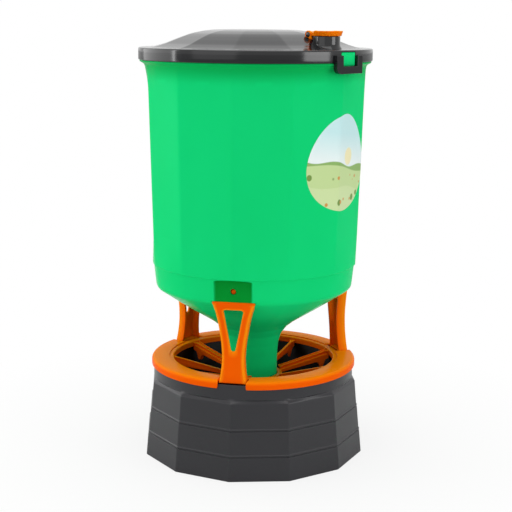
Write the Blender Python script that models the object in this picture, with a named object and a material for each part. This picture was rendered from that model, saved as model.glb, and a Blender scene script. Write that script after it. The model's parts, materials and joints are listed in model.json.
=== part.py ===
"""Free-standing poultry feeder: a faceted feed hopper on three legs over a spoked grille and a pedestal.

Units are metres, +Z is up and the origin is on the floor at the centre of the pedestal. The front,
with the filler neck, faces -Y. Azimuth is measured from the front towards +X, so a point at azimuth a
and radius r lies at (r sin a, -r cos a).

From the floor up: the stepped pedestal, the feed pan that hangs in its collar, the grille (outer ring,
spokes with pointed teeth, and hub), three channel-section legs, the hopper that narrows to a round
spout inside the hub, and the domed lid with a filler neck, a hinged cap and two lid loops.
"""

import math

import bmesh
import bpy
from mathutils import Matrix, Vector

# Shape of every faceted piece
SIDES = 12
POINTS_PER_SIDE = 4
HALF_SIDE = math.pi / SIDES
FLAT_LIMIT = math.radians(0.2)

# Clearances
SEAT = 0.0003
SLIP = 0.0004

# Pedestal
PEDESTAL_RADIUS = 0.1482
TIER_COUNT = 3
TIER_HEIGHT = 0.0329
TIER_DRAFT = 0.0028
LEDGE_STEP = 0.0010
LEDGE_RISE = 0.0016
COLLAR_INSET = 0.0152
COLLAR_HEIGHT = 0.0210
SHOULDER_RISE = 0.0050
PEDESTAL_WALL = 0.0026

# Feed pan
PAN_WALL = 0.0022
PAN_DEPTH = 0.0540
PAN_TAPER = 0.0120
PAN_PLAY = 0.0030
PAN_CORNER = 0.0080
SPREADER_RADIUS = 0.0340
SPREADER_HEIGHT = 0.0200
SPREADER_TIP = 0.0040

# Grille ring
RING_WALL = 0.0024
RING_TOP_RIB = 0.0016
RING_SKIRT = 0.0100
RING_EDGE = 0.0040
RING_REACH = 0.0265
RING_BAND = 0.0065
RING_BAND_STEP = 0.0012
RING_BORE_SKIRT = 0.0090
RING_RIB_INSET = 0.0120

# Grille hub and spokes
HUB_WALL = 0.0066
HUB_HEIGHT = 0.0080
HUB_DROP = 0.0250
SPOKE_COUNT = 9
SPOKE_OUTER_DROP = 0.0047
SPOKE_INNER_RISE = 0.0008
SPOKE_INNER_DEPTH = 0.0055
SPOKE_OUTER_DEPTH = 0.0108
SPOKE_FLANGE = 0.0046
SPOKE_FLANGE_DEPTH = 0.0018
SPOKE_WEB = 0.0028
MAIN_SPOKE_RISE = 0.0026
MAIN_SPOKE_FLANGE = 0.0080
MAIN_SPOKE_WEB = 0.0040
GROOVE_WIDTH = 0.0028
GROOVE_DEPTH = 0.0010
TOOTH_LENGTH = 0.0090
TOOTH_ROOT = 0.0110
TOOTH_TIP = 0.0024
TOOTH_INSET = 0.0026

# Legs
LEG_COUNT = 3
LEG_HEIGHT = 0.1030
LEG_INSET = 0.0095
LEG_SPREAD = 0.0045
LEG_PLATE = 0.0030
LEG_FLANGE = 0.0130
LEG_RIB = 0.0028
LEG_TOP_WIDTH = 0.0558
LEG_WAIST_WIDTH = 0.0298
LEG_FOOT_WIDTH = 0.0350
LEG_WAIST_HEIGHT = 0.0330
WINDOW_WIDTH = 0.0256
WINDOW_TOP_INSET = 0.0100
WINDOW_BOTTOM_HEIGHT = 0.0420
WINDOW_TIP_WIDTH = 0.0056
WINDOW_CORNER = 0.0024
LEG_STEPS = 9
TONGUE_HEIGHT = 0.0225
TONGUE_THICKNESS = 0.0029
STUD_RADIUS = 0.0034
STUD_HEIGHT = 0.0135

# Hopper
HOPPER_WALL = 0.0024
EDGE_BELOW_LEG_TOP = 0.0022
POCKET_DEPTH = 0.0045
BAND_DRAFT = 0.0020
BAND_HEIGHT = 0.0314
BODY_STEP = 0.0024
BODY_HEIGHT = 0.2533
BODY_DRAFT = 0.0067
CONE_ANGLE = math.radians(31.8)
CONE_EDGE = 0.0050
SPOUT_RADIUS = 0.0332
SPOUT_DRAFT = 0.0014
SPOUT_FILLET = 0.0340
SPOUT_IN_HUB = 0.0020
LIP_INSET = 0.0015
LIP_HEIGHT = 0.0023
LIP_COVE = 0.0065
MOUTH_HEIGHT = 0.0120
SOCKET_WALL = 0.0020
POCKET_TOP_GAP = 0.0022

# Lid
LID_OVERHANG = 0.0077
LID_WALL = 0.0024
RIM_HEIGHT = 0.0154
RIM_EDGE = 0.0018
MOUTH_PLAY = 0.0021
DOME_INSET = 0.0150
DOME_FLAT = 0.0400
DOME_RISE = 0.0227
DOME_FOOT = 0.0005
DOME_POWER = 1.1

# Filler neck, cap and hinge
NECK_INSET = 0.0347
NECK_RADIUS = 0.0169
NECK_WALL = 0.0024
NECK_TOP_RISE = 0.0160
CAP_OVERHANG = 0.0014
CAP_THICKNESS = 0.0045
CAP_PLUG = 0.0032
CAP_PLUG_WALL = 0.0018
CAP_LIP_REACH = 0.0015
CAP_LIP_WIDTH = 0.0034
CAP_LIP_HEIGHT = 0.0017
CAP_LIP_ARC = math.radians(104)
PIN_RADIUS = 0.0023
PIN_OFFSET = 0.0220
PIN_RISE = 0.0016
KNUCKLE_WALL = 0.0015
KNUCKLE_WIDTH = 0.0106
EAR_WALL = 0.0024
EAR_WIDTH = 0.0033
EAR_STEPS = 10

# Lid loops and the lugs behind them
LOOP_WIDTH = 0.0508
LOOP_THICKNESS = 0.0058
LOOP_DROP = 0.0128
LOOP_BAR = 0.0089
LOOP_CORNER = 0.0070
LOOP_SHARP_CORNER = 0.0015
LOOP_WINDOW = 0.0272
LOOP_TOP_BAR = 0.0020
LUG_PLAY = 0.0005

# Heights that follow from the sizes above
PEDESTAL_TOP = TIER_COUNT * TIER_HEIGHT + COLLAR_HEIGHT
PAN_FLANGE_TOP = PEDESTAL_TOP + SEAT + PAN_WALL
RING_SEAT = PAN_FLANGE_TOP + SEAT
RING_TOP = RING_SEAT + RING_TOP_RIB + RING_WALL
HUB_TOP = RING_TOP - HUB_DROP
LEG_TOP = RING_SEAT + LEG_HEIGHT
HOPPER_EDGE = LEG_TOP - EDGE_BELOW_LEG_TOP
BAND_TOP = HOPPER_EDGE + BAND_HEIGHT
BODY_TOP = BAND_TOP + BODY_HEIGHT
LIP_BOTTOM = BODY_TOP + LIP_COVE
LIP_TOP = LIP_BOTTOM + LIP_HEIGHT
MOUTH_TOP = LIP_TOP + MOUTH_HEIGHT
RIM_BOTTOM = LIP_TOP + SEAT
RIM_TOP = RIM_BOTTOM + RIM_HEIGHT
NECK_TOP = RIM_TOP + NECK_TOP_RISE
PIN_HEIGHT = NECK_TOP + PIN_RISE

# Radii that follow from the sizes above
COLLAR_RADIUS = PEDESTAL_RADIUS - COLLAR_INSET
RING_RADIUS = COLLAR_RADIUS + SLIP + RING_WALL
RING_BORE = COLLAR_RADIUS - RING_REACH
RING_RIB_RADIUS = COLLAR_RADIUS - RING_RIB_INSET
PAN_MOUTH = RING_BORE + RING_WALL + PAN_PLAY
HUB_BORE = SPOUT_RADIUS - SPOUT_DRAFT * 0.7 + SLIP
HUB_RADIUS = HUB_BORE + HUB_WALL
LEG_FACE = RING_RADIUS - LEG_INSET
POCKET_FACE = LEG_FACE + SLIP
BAND_RADIUS = POCKET_FACE + POCKET_DEPTH
BODY_RADIUS = BAND_RADIUS + BAND_DRAFT + BODY_STEP
LID_RADIUS = BODY_RADIUS + BODY_DRAFT + LID_OVERHANG
MOUTH_RADIUS = LID_RADIUS - LID_WALL - MOUTH_PLAY
DOME_RADIUS = LID_RADIUS - DOME_INSET
NECK_CENTRE = LID_RADIUS - NECK_INSET
PIN_DISTANCE = NECK_CENTRE - PIN_OFFSET
KNUCKLE_RADIUS = PIN_RADIUS + SEAT + KNUCKLE_WALL
EAR_RADIUS = PIN_RADIUS + SEAT + EAR_WALL
LOOP_FACE = LID_RADIUS + SEAT + LOOP_THICKNESS

FRONT = 0.0
REAR = math.pi
LEG_AZIMUTHS = {"leg_rear": REAR, "leg_left": -math.pi / 3, "leg_right": math.pi / 3}


# Materials

def plastic(name, colour, roughness, metallic=0.0):
    """Return a new material with the given linear colour."""
    material = bpy.data.materials.new(name)
    material.use_nodes = True
    shader = material.node_tree.nodes["Principled BSDF"]
    shader.inputs["Base Color"].default_value = (*colour, 1.0)
    shader.inputs["Roughness"].default_value = roughness
    shader.inputs["Metallic"].default_value = metallic
    return material


def make_materials():
    """Return the materials of the feeder by name."""
    return {
        "green": plastic("green_gloss", (0.010, 0.560, 0.150), 0.22),
        "orange": plastic("orange_satin", (0.840, 0.100, 0.003), 0.35),
        "lid_grey": plastic("lid_grey_gloss", (0.030, 0.031, 0.033), 0.20),
        "base_grey": plastic("base_grey_satin", (0.040, 0.039, 0.043), 0.42),
        "pan_grey": plastic("pan_grey_matte", (0.060, 0.060, 0.065), 0.55),
        "pin_black": plastic("pin_black", (0.008, 0.008, 0.009), 0.30),
    }


# Profiles, as lists of (radius, height, roundness): roundness 0 is the polygon, 1 is the circle

def polar(radius, azimuth, height):
    """Return the point at a radius and azimuth from the main axis."""
    return Vector((radius * math.sin(azimuth), -radius * math.cos(azimuth), height))


def facet_radius(radius, azimuth, roundness):
    """Return the radius at an azimuth of a polygon whose corners lie on the given radius."""
    from_middle = azimuth % (2 * HALF_SIDE) - HALF_SIDE
    flat = radius * math.cos(HALF_SIDE) / math.cos(from_middle)
    return flat + (radius - flat) * roundness


def fillet(before, corner, after, radius, steps=4):
    """Return the arc of a radius that rounds the corner between two straight lines."""
    into = (Vector(before) - Vector(corner)).normalized()
    out = (Vector(after) - Vector(corner)).normalized()
    half_angle = into.angle(out) / 2
    centre = Vector(corner) + (into + out).normalized() * radius / math.sin(half_angle)
    start = Vector(corner) + into * radius / math.tan(half_angle) - centre
    end = Vector(corner) + out * radius / math.tan(half_angle) - centre
    turn = start.angle(end)
    arc = []
    for step in range(steps + 1):
        share = step / steps
        first = math.sin((1 - share) * turn) / math.sin(turn)
        second = math.sin(share * turn) / math.sin(turn)
        arc.append(tuple(centre + start * first + end * second))
    return arc


def with_roundness(points, roundness):
    """Add one roundness to each (radius, height) point."""
    return [(radius, height, roundness) for radius, height in points]


# Mesh makers

def finished(work, name, material):
    """Turn a bmesh into an object, with its faces turned outwards."""
    bmesh.ops.recalc_face_normals(work, faces=work.faces)
    mesh = bpy.data.meshes.new(name)
    work.to_mesh(mesh)
    work.free()
    if material:
        mesh.materials.append(material)
    made = bpy.data.objects.new(name, mesh)
    bpy.context.scene.collection.objects.link(made)
    return made


def turned(name, profile, material=None, segments=SIDES * POINTS_PER_SIDE, centre=(0.0, 0.0)):
    """Spin a closed profile round a vertical axis, then draw its polygonal parts in to their flats.

    A profile that starts and ends on the axis is closed by a point at each end. The cells of each flat
    are merged into one face.
    """
    work = bmesh.new()
    polygonal = work.verts.layers.float.new("roundness")
    points = []
    for radius, height, roundness in profile:
        points.append(work.verts.new((0.0, -radius, height)))
        points[-1][polygonal] = roundness
    on_axis = profile[0][0] < 1e-6 and profile[-1][0] < 1e-6
    following = points[1:] if on_axis else points[1:] + points[:1]
    edges = [work.edges.new(pair) for pair in zip(points, following)]
    bmesh.ops.spin(work, geom=points + edges, cent=(0.0, 0.0, 0.0), axis=(0.0, 0.0, 1.0),
                   angle=2 * math.pi, steps=segments, use_merge=True)
    bmesh.ops.remove_doubles(work, verts=work.verts, dist=1e-6)
    for vertex in work.verts:
        azimuth = math.atan2(vertex.co.x, -vertex.co.y)
        radius = facet_radius(math.hypot(vertex.co.x, vertex.co.y), azimuth, vertex[polygonal])
        vertex.co = polar(radius, azimuth, vertex.co.z) + Vector((centre[0], centre[1], 0.0))
    work.normal_update()
    bmesh.ops.dissolve_limit(work, angle_limit=FLAT_LIMIT, verts=work.verts, edges=work.edges)
    return finished(work, name, material)


def swept(name, sections, material=None):
    """Extrude the face of the first section through the places of all the others."""
    work = bmesh.new()
    face = work.faces.new([work.verts.new(point) for point in sections[0]])
    for number, section in enumerate(sections[1:]):
        pushed = bmesh.ops.extrude_face_region(work, geom=[face])["geom"]
        if number > 0:
            bmesh.ops.delete(work, geom=[face], context="FACES_ONLY")
        face = [part for part in pushed if isinstance(part, bmesh.types.BMFace)][0]
        for vertex, point in zip(face.verts, section):
            vertex.co = point
    return finished(work, name, material)


def at_leg(across, distance, height, azimuth):
    """Return the point that lies across and out from the main axis, turned to an azimuth."""
    return Matrix.Rotation(azimuth, 3, "Z") @ Vector((across, -distance, height))


def prism(name, outline, near, far, azimuth=FRONT, material=None):
    """Extrude an outline of (across, height) points between two distances from the main axis."""
    sections = [[at_leg(across, distance, height, azimuth) for across, height in outline]
                for distance in (near, far)]
    return swept(name, sections, material)


def bar(name, outline, left, right, azimuth=FRONT):
    """Extrude an outline of (distance, height) points across an azimuth, from one place to another."""
    sections = [[at_leg(across, distance, height, azimuth) for distance, height in outline]
                for across in (left, right)]
    return swept(name, sections)


def rod(name, radius, start, end, segments=24, material=None):
    """Make a solid cylinder between two points."""
    axis = Vector(end) - Vector(start)
    middle = Matrix.Translation((Vector(start) + Vector(end)) / 2)
    work = bmesh.new()
    bmesh.ops.create_cone(work, cap_ends=True, segments=segments, radius1=radius, radius2=radius,
                          depth=axis.length, matrix=middle @ axis.to_track_quat("Z", "Y").to_matrix().to_4x4())
    return finished(work, name, material)


def rectangle(half_width, bottom, top):
    """Return the corners of a rectangle that is centred across."""
    return [(-half_width, bottom), (half_width, bottom), (half_width, top), (-half_width, top)]


def combine(target, tool, operation):
    """Cut a tool out of a solid or fuse it on, and remove the tool."""
    modifier = target.modifiers.new("combine", "BOOLEAN")
    modifier.operation = operation
    modifier.object = tool
    modifier.solver = "EXACT"
    bpy.context.view_layer.update()
    evaluated = target.evaluated_get(bpy.context.evaluated_depsgraph_get())
    mesh = bpy.data.meshes.new_from_object(evaluated)
    mesh.name = target.name
    target.modifiers.remove(modifier)
    target.data = mesh
    bpy.data.objects.remove(tool)


def cut(target, tool):
    """Cut a tool out of a solid."""
    combine(target, tool, "DIFFERENCE")


def fuse(target, tool):
    """Fuse a second solid to the first."""
    combine(target, tool, "UNION")


def shade(made, angle=30):
    """Shade a round piece smooth, with its edges left sharp."""
    made.data.shade_smooth()
    made.data.set_sharp_from_angle(angle=math.radians(angle))


# Pedestal and feed pan

def pedestal_outline():
    """Return the outer side: drafted tiers with chamfered ledges, a shoulder and the round collar."""
    outline = []
    radius = PEDESTAL_RADIUS
    for tier in range(TIER_COUNT):
        bottom = tier * TIER_HEIGHT
        last = tier == TIER_COUNT - 1
        rise = 0.0 if last else LEDGE_RISE
        outline.append((radius, bottom, 0.0))
        radius -= TIER_DRAFT
        outline.append((radius, bottom + TIER_HEIGHT - rise, 0.0))
        radius -= LEDGE_STEP
    shoulder = TIER_COUNT * TIER_HEIGHT
    outline.append((COLLAR_RADIUS + SHOULDER_RISE * 0.3, shoulder + SHOULDER_RISE * 0.45, 0.7))
    outline.append((COLLAR_RADIUS, shoulder + SHOULDER_RISE, 1.0))
    outline.append((COLLAR_RADIUS, PEDESTAL_TOP, 1.0))
    return outline


def make_pedestal(materials):
    """Make the pedestal, a drafted shell that is open underneath."""
    outer = pedestal_outline()
    inner = [(radius - PEDESTAL_WALL, height, roundness) for radius, height, roundness in outer]
    made = turned("base_pedestal", outer + inner[::-1], materials["base_grey"])
    shade(made, 12)
    return made


def make_pan(materials):
    """Make the feed pan: a flange on the collar, a tapering wall and a cone that spreads the feed."""
    floor = PAN_FLANGE_TOP - PAN_DEPTH
    foot = PAN_MOUTH - PAN_TAPER
    corner = fillet((PAN_MOUTH, PAN_FLANGE_TOP), (foot, floor), (0.0, floor), PAN_CORNER, 2)
    cone_top = floor + SPREADER_HEIGHT
    inside = [(PAN_MOUTH, PAN_FLANGE_TOP)] + corner
    inside += [(SPREADER_RADIUS, floor), (SPREADER_TIP, cone_top - SPREADER_TIP * 0.4), (0.0, cone_top)]
    under = floor - PAN_WALL
    outer_corner = fillet((PAN_MOUTH + PAN_WALL, PAN_FLANGE_TOP), (foot + PAN_WALL, under),
                          (0.0, under), PAN_CORNER + PAN_WALL, 2)
    outside = [(PAN_MOUTH + PAN_WALL, PEDESTAL_TOP + SEAT)] + outer_corner
    outside += [(SPREADER_RADIUS, under), (SPREADER_TIP, cone_top - SPREADER_TIP * 0.4 - PAN_WALL),
                (0.0, cone_top - PAN_WALL)]
    rim = [(COLLAR_RADIUS, PEDESTAL_TOP + SEAT), (COLLAR_RADIUS, PAN_FLANGE_TOP)]
    profile = outside[::-1] + rim + inside
    made = turned("feed_pan", with_roundness(profile, 1.0), materials["pan_grey"])
    shade(made, 35)
    return made


# Grille

def ring_profile():
    """Return the section of the ring: outer skirt, flat top, stepped inner band, bore skirt and rib."""
    skirt_bottom = RING_TOP - RING_SKIRT
    under = RING_TOP - RING_WALL
    band = RING_TOP - RING_BAND_STEP
    band_radius = RING_BORE + RING_BAND
    edge = fillet((RING_RADIUS, skirt_bottom), (RING_RADIUS, RING_TOP), (RING_BORE, RING_TOP), RING_EDGE, 3)
    bore_edge = fillet((band_radius, band), (RING_BORE, band), (RING_BORE, skirt_bottom), RING_WALL / 2, 2)
    outer = [(RING_RADIUS - RING_WALL, skirt_bottom), (RING_RADIUS - 0.0006, skirt_bottom),
             (RING_RADIUS, skirt_bottom + 0.0014)]
    top = [(band_radius + RING_BAND_STEP / 2, RING_TOP), (band_radius, band)]
    bore_bottom = RING_TOP - RING_BORE_SKIRT
    bore = [(RING_BORE, bore_bottom), (RING_BORE + RING_WALL, bore_bottom), (RING_BORE + RING_WALL, under)]
    half_rib = RING_WALL / 2
    rib = [(RING_RIB_RADIUS - half_rib, under), (RING_RIB_RADIUS - half_rib, RING_SEAT),
           (RING_RIB_RADIUS + half_rib, RING_SEAT), (RING_RIB_RADIUS + half_rib, under)]
    inner_corner = [(RING_RADIUS - RING_WALL, under)]
    return outer + edge + top + bore_edge + bore + rib + inner_corner


def make_ring(materials):
    """Make the outer ring of the grille, with a gap for the foot of each leg."""
    made = turned("grille_ring", with_roundness(ring_profile(), 1.0), materials["orange"], 54)
    half_gap = LEG_FOOT_WIDTH / 2 + SLIP
    inner_end = LEG_FACE + LEG_SPREAD - LEG_FLANGE - SLIP
    for azimuth in LEG_AZIMUTHS.values():
        gap = rectangle(half_gap, RING_SEAT - RING_SKIRT * 2, RING_TOP + RING_SKIRT)
        cut(made, prism("leg_gap", gap, inner_end, RING_RADIUS + RING_SKIRT, azimuth))
    shade(made, 35)
    return made


def make_hub(materials):
    """Make the hub of the grille, which surrounds the end of the spout."""
    chamfer = HUB_WALL / 5
    bottom = HUB_TOP - HUB_HEIGHT
    profile = [
        (HUB_BORE, bottom), (HUB_RADIUS - chamfer, bottom), (HUB_RADIUS, bottom + chamfer),
        (HUB_RADIUS, HUB_TOP - chamfer), (HUB_RADIUS - chamfer, HUB_TOP), (HUB_BORE, HUB_TOP),
    ]
    made = turned("grille_hub", with_roundness(profile, 1.0), materials["orange"], 30)
    shade(made, 50)
    return made


def spoke_stations(top_rise):
    """Return (radius, top, bottom) along a spoke: a web that deepens outwards and ends in a tooth."""
    inner = HUB_RADIUS + SEAT
    outer = RING_BORE - SEAT
    inner_top = HUB_TOP + SPOKE_INNER_RISE
    outer_top = RING_TOP - SPOKE_OUTER_DROP
    tooth_outer = outer - TOOTH_INSET
    tooth_inner = tooth_outer - TOOTH_ROOT
    tip = (tooth_outer + tooth_inner) / 2
    depth_slope = (SPOKE_OUTER_DEPTH - SPOKE_INNER_DEPTH) / (tooth_inner - inner)

    def top(radius):
        return inner_top + (outer_top - inner_top) * (radius - inner) / (outer - inner)

    def bottom(radius):
        return top(radius) - SPOKE_INNER_DEPTH - depth_slope * (radius - inner)

    tip_bottom = bottom(tip) - TOOTH_LENGTH
    half_tip = TOOTH_TIP / 2
    outline = [
        (inner, bottom(inner)),
        (tooth_inner, bottom(tooth_inner)),
        (tip - half_tip, tip_bottom + half_tip),
        (tip - half_tip * 0.4, tip_bottom),
        (tip + half_tip * 0.4, tip_bottom),
        (tip + half_tip, tip_bottom + half_tip),
        (tooth_outer, bottom(tooth_outer)),
        (outer, bottom(outer) + TOOTH_INSET),
    ]
    return [(radius, top(radius) + top_rise, low) for radius, low in outline]


def make_spoke(name, azimuth, main, materials):
    """Make a spoke of T section. A main spoke, at a leg, is wider and has a groove along its top."""
    flange = MAIN_SPOKE_FLANGE if main else SPOKE_FLANGE
    web = MAIN_SPOKE_WEB if main else SPOKE_WEB
    groove = [(GROOVE_WIDTH / 2, 0.0), (GROOVE_WIDTH / 2, GROOVE_DEPTH),
              (-GROOVE_WIDTH / 2, GROOVE_DEPTH), (-GROOVE_WIDTH / 2, 0.0)] if main else []
    upper = [(flange / 2, SPOKE_FLANGE_DEPTH), (flange / 2, 0.0)] + groove
    upper += [(-flange / 2, 0.0), (-flange / 2, SPOKE_FLANGE_DEPTH), (-web / 2, SPOKE_FLANGE_DEPTH)]
    sections = []
    for radius, top, bottom in spoke_stations(MAIN_SPOKE_RISE if main else 0.0):
        outline = [(across, top - down) for across, down in upper]
        outline += [(-web / 2, bottom), (web / 2, bottom), (web / 2, top - SPOKE_FLANGE_DEPTH)]
        sections.append([at_leg(across, radius, height, azimuth) for across, height in outline])
    return swept(name, sections, materials["orange"])


def make_spokes(materials):
    """Make the spokes, one at each leg and the others spaced evenly between them."""
    made = []
    per_leg = SPOKE_COUNT // LEG_COUNT
    for number in range(SPOKE_COUNT):
        azimuth = LEG_AZIMUTHS["leg_left"] + 2 * math.pi * number / SPOKE_COUNT
        made.append(make_spoke(f"grille_spoke_{number + 1}", azimuth, number % per_leg == 0, materials))
    return made


# Legs

def blend(low, high, share):
    """Go smoothly from one value to another, level at both ends."""
    share = min(max(share, 0.0), 1.0)
    return low + (high - low) * share * share * (3 - 2 * share)


def leg_half_width(height):
    """Return half of the leg's width: it flares from the waist up to the hopper and down to the foot."""
    if height < LEG_WAIST_HEIGHT:
        return blend(LEG_FOOT_WIDTH, LEG_WAIST_WIDTH, height / LEG_WAIST_HEIGHT) / 2
    share = (height - LEG_WAIST_HEIGHT) / (LEG_HEIGHT - LEG_WAIST_HEIGHT)
    return (LEG_WAIST_WIDTH + (LEG_TOP_WIDTH - LEG_WAIST_WIDTH) * share ** 1.6) / 2


def leg_face(height):
    """Return the distance of the leg's outer face from the main axis: the foot spreads outwards."""
    return LEG_FACE + LEG_SPREAD * (1 - min(height / (LEG_HEIGHT * 0.62), 1.0)) ** 1.5


def leg_section(height, azimuth, inset, near, far):
    """Return the leg's section at a height above the foot, as four points.

    The section lies between two depths behind the outer face and is drawn in by an inset on each side.
    """
    half = leg_half_width(height) - inset
    front = leg_face(height) - near
    back = leg_face(height) - far
    corners = [(-half, front), (half, front), (half, back), (-half, back)]
    return [at_leg(across, distance, RING_SEAT + height, azimuth) for across, distance in corners]


def leg_sections(bottom, top, azimuth, inset, near, far):
    """Return evenly spaced sections of the leg between two heights above the foot."""
    rise = (top - bottom) / LEG_STEPS
    return [leg_section(bottom + rise * step, azimuth, inset, near, far) for step in range(LEG_STEPS + 1)]


def window_outline():
    """Return the window's outline: a triangle that narrows downwards, with rounded corners."""
    top = LEG_TOP - WINDOW_TOP_INSET
    bottom = RING_SEAT + WINDOW_BOTTOM_HEIGHT
    corners = [(-WINDOW_WIDTH / 2, top), (WINDOW_WIDTH / 2, top),
               (WINDOW_TIP_WIDTH / 2, bottom), (-WINDOW_TIP_WIDTH / 2, bottom)]
    outline = []
    for number, corner in enumerate(corners):
        after = corners[(number + 1) % len(corners)]
        outline += fillet(corners[number - 1], corner, after, WINDOW_CORNER, 3)
    return outline


def cone_height(radius):
    """Return the height of the hopper's straight cone at a radius, on its corner lines."""
    return HOPPER_EDGE - (BAND_RADIUS - radius) * math.tan(CONE_ANGLE)


def cone_space():
    """Return the outline of the space that the cone takes above the leg's flanges.

    The leg stands on a corner line of the hopper, and each flange lies off it by this much, so the
    cone's side there is as high as it is further out along the corner line.
    """
    aside = (LEG_TOP_WIDTH / 2 - LEG_RIB) * math.tan(HALF_SIDE)
    inner = LEG_FACE - LEG_FLANGE * 2
    outer = LEG_FACE - LEG_PLATE + SEAT / 2
    top = LEG_TOP + LEG_FLANGE
    return [(inner, cone_height(inner + aside) - SLIP * 2), (outer, cone_height(outer + aside) - SLIP * 2),
            (outer, top), (inner, top)]


def socket_near():
    """Return how far from the main axis the inner side of the block round a leg's tongue lies."""
    return POCKET_FACE - SOCKET_WALL - TONGUE_THICKNESS - SLIP * 2 - HOPPER_WALL


def socket_bottom():
    """Return the height of the block's underside, which is inside the cone's wall."""
    return cone_height(socket_near()) + HOPPER_WALL / 2


def tongue_half_width():
    """Return half of the tongue's width: its slot and the block round it fit between the flanges."""
    between_flanges = leg_half_width(socket_bottom() - RING_SEAT) - LEG_RIB
    return between_flanges - HOPPER_WALL - SLIP * 3


def make_leg(name, azimuth, materials):
    """Make a leg: a tapering channel with a foot and a window, and a tongue with a stud.

    The leg's outline is swept up its curved face. The channel behind the plate, the window and the
    space of the cone are cut out of it, and the tongue and its stud are fused on.
    """
    made = swept(name, leg_sections(0.0, LEG_HEIGHT, azimuth, 0.0, 0.0, LEG_FLANGE), materials["orange"])
    above = LEG_HEIGHT + LEG_PLATE
    cut(made, swept("channel", leg_sections(LEG_PLATE, above, azimuth, LEG_RIB, LEG_PLATE, LEG_FLANGE * 2)))
    cut(made, bar("cone_space", cone_space(), -LEG_TOP_WIDTH, LEG_TOP_WIDTH, azimuth))
    cut(made, prism("window", window_outline(), LEG_FACE - LEG_FLANGE, RING_RADIUS, azimuth))
    tongue_face = POCKET_FACE - SOCKET_WALL - SLIP
    tongue = rectangle(tongue_half_width(), LEG_TOP - LEG_PLATE * 2, LEG_TOP + TONGUE_HEIGHT)
    fuse(made, prism("tongue", tongue, tongue_face - TONGUE_THICKNESS, tongue_face, azimuth))
    stud_height = LEG_TOP + STUD_HEIGHT
    stud = rod("stud", STUD_RADIUS, polar(tongue_face - TONGUE_THICKNESS / 2, azimuth, stud_height),
               polar(LEG_FACE, azimuth, stud_height), 16)
    fuse(made, stud)
    shade(made, 25)
    return made


# Hopper

def hopper_path():
    """Return the outer side of the wall from the spout's end to the mouth."""
    spout_end = HUB_TOP - SPOUT_IN_HUB
    root = (SPOUT_RADIUS, cone_height(SPOUT_RADIUS))
    edge = (BAND_RADIUS, HOPPER_EDGE)
    band_top = BAND_RADIUS + BAND_DRAFT
    path = [(SPOUT_RADIUS - SPOUT_DRAFT, spout_end, 1.0)]
    path += with_roundness(fillet((SPOUT_RADIUS, spout_end), root, edge, SPOUT_FILLET, 6), 1.0)
    last = path[-1][0]
    edge_arc = fillet(root, edge, (band_top, BAND_TOP), CONE_EDGE, 3)
    first = edge_arc[0][0]
    for share in (0.25, 0.5, 0.75):
        radius = last + (first - last) * share
        path.append((radius, cone_height(radius), 1 - blend(0.0, 1.0, share * 1.15)))
    path += with_roundness(edge_arc, 0.0)
    path.append((band_top, BAND_TOP - BODY_STEP / 2, 0.0))
    path.append((BODY_RADIUS, BAND_TOP, 0.0))
    path.append((BODY_RADIUS + BODY_DRAFT, BODY_TOP, 0.0))
    return path


def make_hopper(materials):
    """Make the hopper: faceted body, stepped lower band, cone, spout, lip, mouth, sockets and lugs."""
    path = hopper_path()
    body_top = path[-1][0]
    lip = LID_RADIUS - LIP_INSET
    cove_radius = body_top + (lip - body_top) * 0.35
    outside = path + [
        (cove_radius, BODY_TOP + LIP_COVE * 0.65, 0.6),
        (lip, LIP_BOTTOM, 1.0),
        (lip, LIP_TOP, 1.0),
        (MOUTH_RADIUS, LIP_TOP, 1.0),
        (MOUTH_RADIUS, MOUTH_TOP, 1.0),
    ]
    slant = HOPPER_WALL / math.cos(CONE_ANGLE)
    inside = []
    for radius, height, roundness in path:
        on_cone = SPOUT_RADIUS + SPOUT_FILLET * 0.2 < radius and height < HOPPER_EDGE + CONE_EDGE / 2
        if not on_cone:
            inside.append((radius - HOPPER_WALL, height, roundness))
        elif radius < BAND_RADIUS - CONE_EDGE:
            inside.append((radius, height + slant, roundness))
    inside.append((MOUTH_RADIUS - HOPPER_WALL, LIP_TOP, 1.0))
    inside.append((MOUTH_RADIUS - HOPPER_WALL, MOUTH_TOP, 1.0))
    made = turned("hopper", outside + inside[::-1], materials["green"])
    for azimuth in LEG_AZIMUTHS.values():
        add_leg_socket(made, azimuth)
    for azimuth in (FRONT, REAR):
        add_lug(made, azimuth)
    shade(made, 20)
    return made


def add_leg_socket(hopper, azimuth):
    """Add the socket of a leg: a flat across the corner, a slot for the tongue and the stud's hole."""
    slot_top = LEG_TOP + TONGUE_HEIGHT + SLIP
    block_near = socket_near()
    slot_near = block_near + HOPPER_WALL
    half_slot = tongue_half_width() + SLIP
    block = rectangle(half_slot + HOPPER_WALL, socket_bottom(), slot_top + HOPPER_WALL)
    fuse(hopper, prism("socket_block", block, block_near, POCKET_FACE + HOPPER_WALL / 2, azimuth))
    beyond = BAND_RADIUS * 1.2
    below = socket_bottom() - HOPPER_WALL * 4
    half_flat = LEG_TOP_WIDTH
    pocket_top = BAND_TOP - POCKET_TOP_GAP
    cut(hopper, prism("pocket", rectangle(half_flat, below, pocket_top), POCKET_FACE, beyond, azimuth))
    slot = rectangle(half_slot, below, slot_top)
    cut(hopper, prism("slot", slot, slot_near, POCKET_FACE - SOCKET_WALL, azimuth))
    notch_half = LEG_TOP_WIDTH / 2 + SLIP
    notch = rectangle(notch_half, below, LEG_TOP + SLIP)
    cut(hopper, prism("notch", notch, LEG_FACE - LEG_PLATE - SLIP, beyond, azimuth))
    stud_height = LEG_TOP + STUD_HEIGHT
    hole = rod("stud_hole", STUD_RADIUS + SEAT, polar(slot_near + SLIP, azimuth, stud_height),
               polar(beyond, azimuth, stud_height), 16)
    cut(hopper, hole)


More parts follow.
